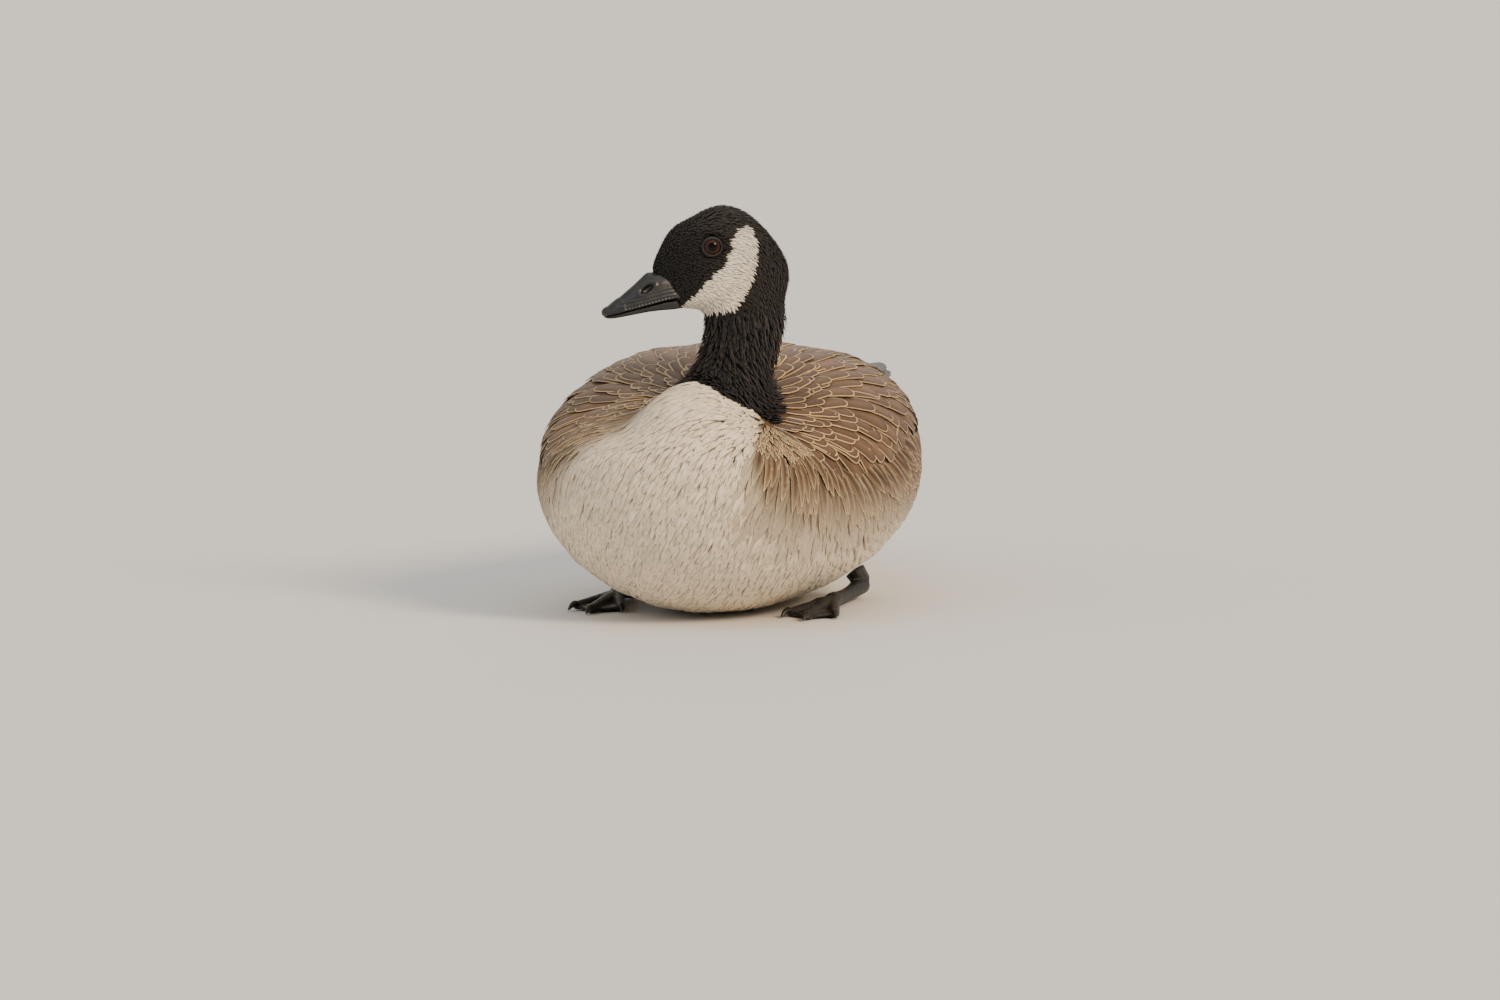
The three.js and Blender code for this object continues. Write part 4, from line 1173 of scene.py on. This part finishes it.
def scaly_material(name, dark, light, scale_mm, roughness):
    """Scaly skin: dark cells with soft paler joints between them, half matt."""
    material, add = new_material(name)
    place = add("TexCoord", {}, out="Object")
    even_cells = {"Scale": 1 / (scale_mm * MM), "Randomness": 0.7}
    cells = add("TexVoronoi", even_cells, {"Vector": place}, out="Distance")
    colour = add("ValToRGB", {"stops": [(0.1, light), (0.7, dark)]}, {0: cells})
    fine = add("TexNoise", {"Scale": FINE_PER_MM / MM, "Detail": 3.0}, {"Vector": place})
    height = add("Math", {"operation": "MULTIPLY_ADD", 1: -2.0}, {0: cells, 2: fine})
    bump = add("Bump", {"Strength": 0.7, "Distance": 0.25 * MM}, {"Height": height})
    shader = add("BsdfPrincipled", {"Roughness": roughness}, {"Base Color": colour, "Normal": bump})
    add("OutputMaterial", {}, {"Surface": shader})
    return material


# Camera, floor and light. The camera aims to the right of and above the bird's origin, as it sees it.
VIEW_AZIMUTH = math.radians(15)
VIEW_ELEVATION = math.radians(6)
VIEW_WIDTH = 1080
AIM_RIGHT = 14.4
AIM_UP = 74.9
VIEW_DISTANCE = 8000
SENSOR_WIDTH = 36
VIEW_END_METRES = 100
FLOOR_REACH = 40000.0


def facing(azimuth, elevation):
    """Direction from the bird to a place at an azimuth, counted from straight ahead, and an elevation."""
    level = math.cos(elevation)
    return Vector((math.sin(azimuth) * level, -math.cos(azimuth) * level, math.sin(elevation)))


def aimed(name, data, place, toward):
    """An object of the studio at its place, that looks back from the direction toward it."""
    made = placed(name, data)
    made.location = place
    made.rotation_mode = "QUATERNION"
    made.rotation_quaternion = (-toward).to_track_quat("-Z", "Y")
    return made


def build_camera():
    back = facing(VIEW_AZIMUTH, VIEW_ELEVATION)
    right = Vector((math.cos(VIEW_AZIMUTH), math.sin(VIEW_AZIMUTH), 0))
    place = (right * AIM_RIGHT + back.cross(right) * AIM_UP + back * VIEW_DISTANCE) * MM
    camera = aimed("camera", bpy.data.cameras.new("camera"), place, back)
    camera.data.sensor_width = SENSOR_WIDTH
    camera.data.lens = SENSOR_WIDTH * VIEW_DISTANCE / VIEW_WIDTH
    camera.data.clip_end = VIEW_END_METRES
    bpy.context.scene.camera = camera


def build_floor():
    """A plain pale floor that reaches to the horizon."""
    corners = FLOOR_REACH * np.array([[-1, -1, 0], [1, -1, 0], [1, 1, 0], [-1, 1, 0]])
    mesh = mesh_from("floor", corners, np.arange(4), np.array([4]))
    material, add = new_material("paper_matt")
    shader = add("BsdfPrincipled", {"Base Color": linear("#e2e0dc"), "Roughness": 0.9})
    add("OutputMaterial", {}, {"Surface": shader})
    mesh.materials.append(material)
    placed("floor", mesh)


# Large soft lights far off: azimuth, elevation, apparent width in degrees, strength and colour.
LIGHTS = [
    ("key", 62, 34, 20, 2.9, "#ffe6c6"),
    ("fill", -50, 30, 60, 0.45, "#e8efff"),
    ("top", 20, 80, 60, 0.7, "#ffffff"),
    ("rear", 190, 30, 40, 0.5, "#fff6ea"),
]


def build_lights():
    for name, azimuth, elevation, width, strength, colour in LIGHTS:
        data = bpy.data.lights.new(name, "SUN")
        data.angle = math.radians(width)
        data.energy = strength
        data.color = linear(colour)[:3]
        toward = facing(math.radians(azimuth), math.radians(elevation))
        aimed(name, data, toward * 3, toward)
    world = bpy.data.worlds.new("studio")
    world.use_nodes = True
    background = world.node_tree.nodes["Background"]
    background.inputs["Color"].default_value = linear("#eceae6")
    background.inputs["Strength"].default_value = 0.6
    bpy.context.scene.world = world


def show_skin(skin):
    """The skin as a piece, with its own unwrap and the coat's markings."""
    mesh = skin.written()
    add_values(mesh, brown=brown_share(skin.co), black=black_share(skin.co), white=white_share(skin.co))
    sizes = values_of(mesh.polygons, "loop_total")
    centres = values_of(mesh.polygons, "center", 3, float) / MM
    # The corners of a face stay together where the unwrap's turn starts again.
    _, turn = unwrap(np.repeat(centres, sizes, axis=0))
    add_map(mesh, unwrap(skin.co[values_of(mesh.loops, "vertex_index")], turn)[0])
    flesh = ("torso", "neck", "head", "wing_left", "wing_right")
    add_piece("skin", mesh, skin_material(), flesh)


build_camera()
build_floor()
build_lights()
skin = build_skin()
show_skin(skin)
# The tree for rays is made at the first question.
skin.nearest(skin.co[:1])
body_feather = feather_material(
    "body_feather_matt", ("#f3e6cf", "#dfcdb0", "#e8d9c0"), ("#dcc49a", "#8d7152", "#46331f"), edge_mm=0.6,
    deep_mm=3.4, roughness=0.8, barbs_run=HAIR_BARBS, barb_mm=1.2, barb_share=0.13, lot_share=0.11,
)
back_feather = feather_material(
    "back_feather_satin", ("#cdb896", "#6b5847", "#6b5847"), ("#ccae80", "#553d2a", "#755a40"), edge_mm=0.6,
    deep_mm=9.0, roughness=0.62, barbs_run=VANE_BARBS, barb_mm=0.9, barb_share=0.09, lot_share=0.2,
)
# Painted highlight: the brown of the black feathers' rims and tips stands in for sunlit tips.
black_feather = feather_material(
    "black_feather_satin", ("#151312", "#0c0b0b", "#0c0b0b"), ("#3d2c20", "#15100d", "#15100d"), edge_mm=0.4,
    deep_mm=4.8, roughness=0.6, barbs_run=HAIR_BARBS, barb_mm=0.6, barb_share=0.15, lot_share=0.15,
)
quill_feather = feather_material(
    "quill_satin", ("#2b2623", "#1d1b1a", "#1d1b1a"), ("#6a5a4a", "#26211d", "#2e2924"), edge_mm=0.5,
    deep_mm=7.0, roughness=0.5, barbs_run=VANE_BARBS, barb_mm=0.9, barb_share=0.08, lot_share=0.08,
)
grow_body(skin, body_feather)
grow_upper(skin, back_feather)
grow_quills(quill_feather, back_feather)
grow_tail(quill_feather, body_feather)
grow_neck(skin, black_feather)
grow_head(skin, black_feather)
horn = horn_material()
build_bill(skin, horn)
build_claws(horn)
lid_skin = scaly_material("lid_skin_matt", "#131110", "#2c2420", 0.7, 0.55)
iris = eye_material()
build_eye(1, "left", iris, lid_skin)
build_eye(-1, "right", iris, lid_skin)
build_feet(scaly_material("leg_scales_half_matt", "#141313", "#292624", 2.2, 0.5))
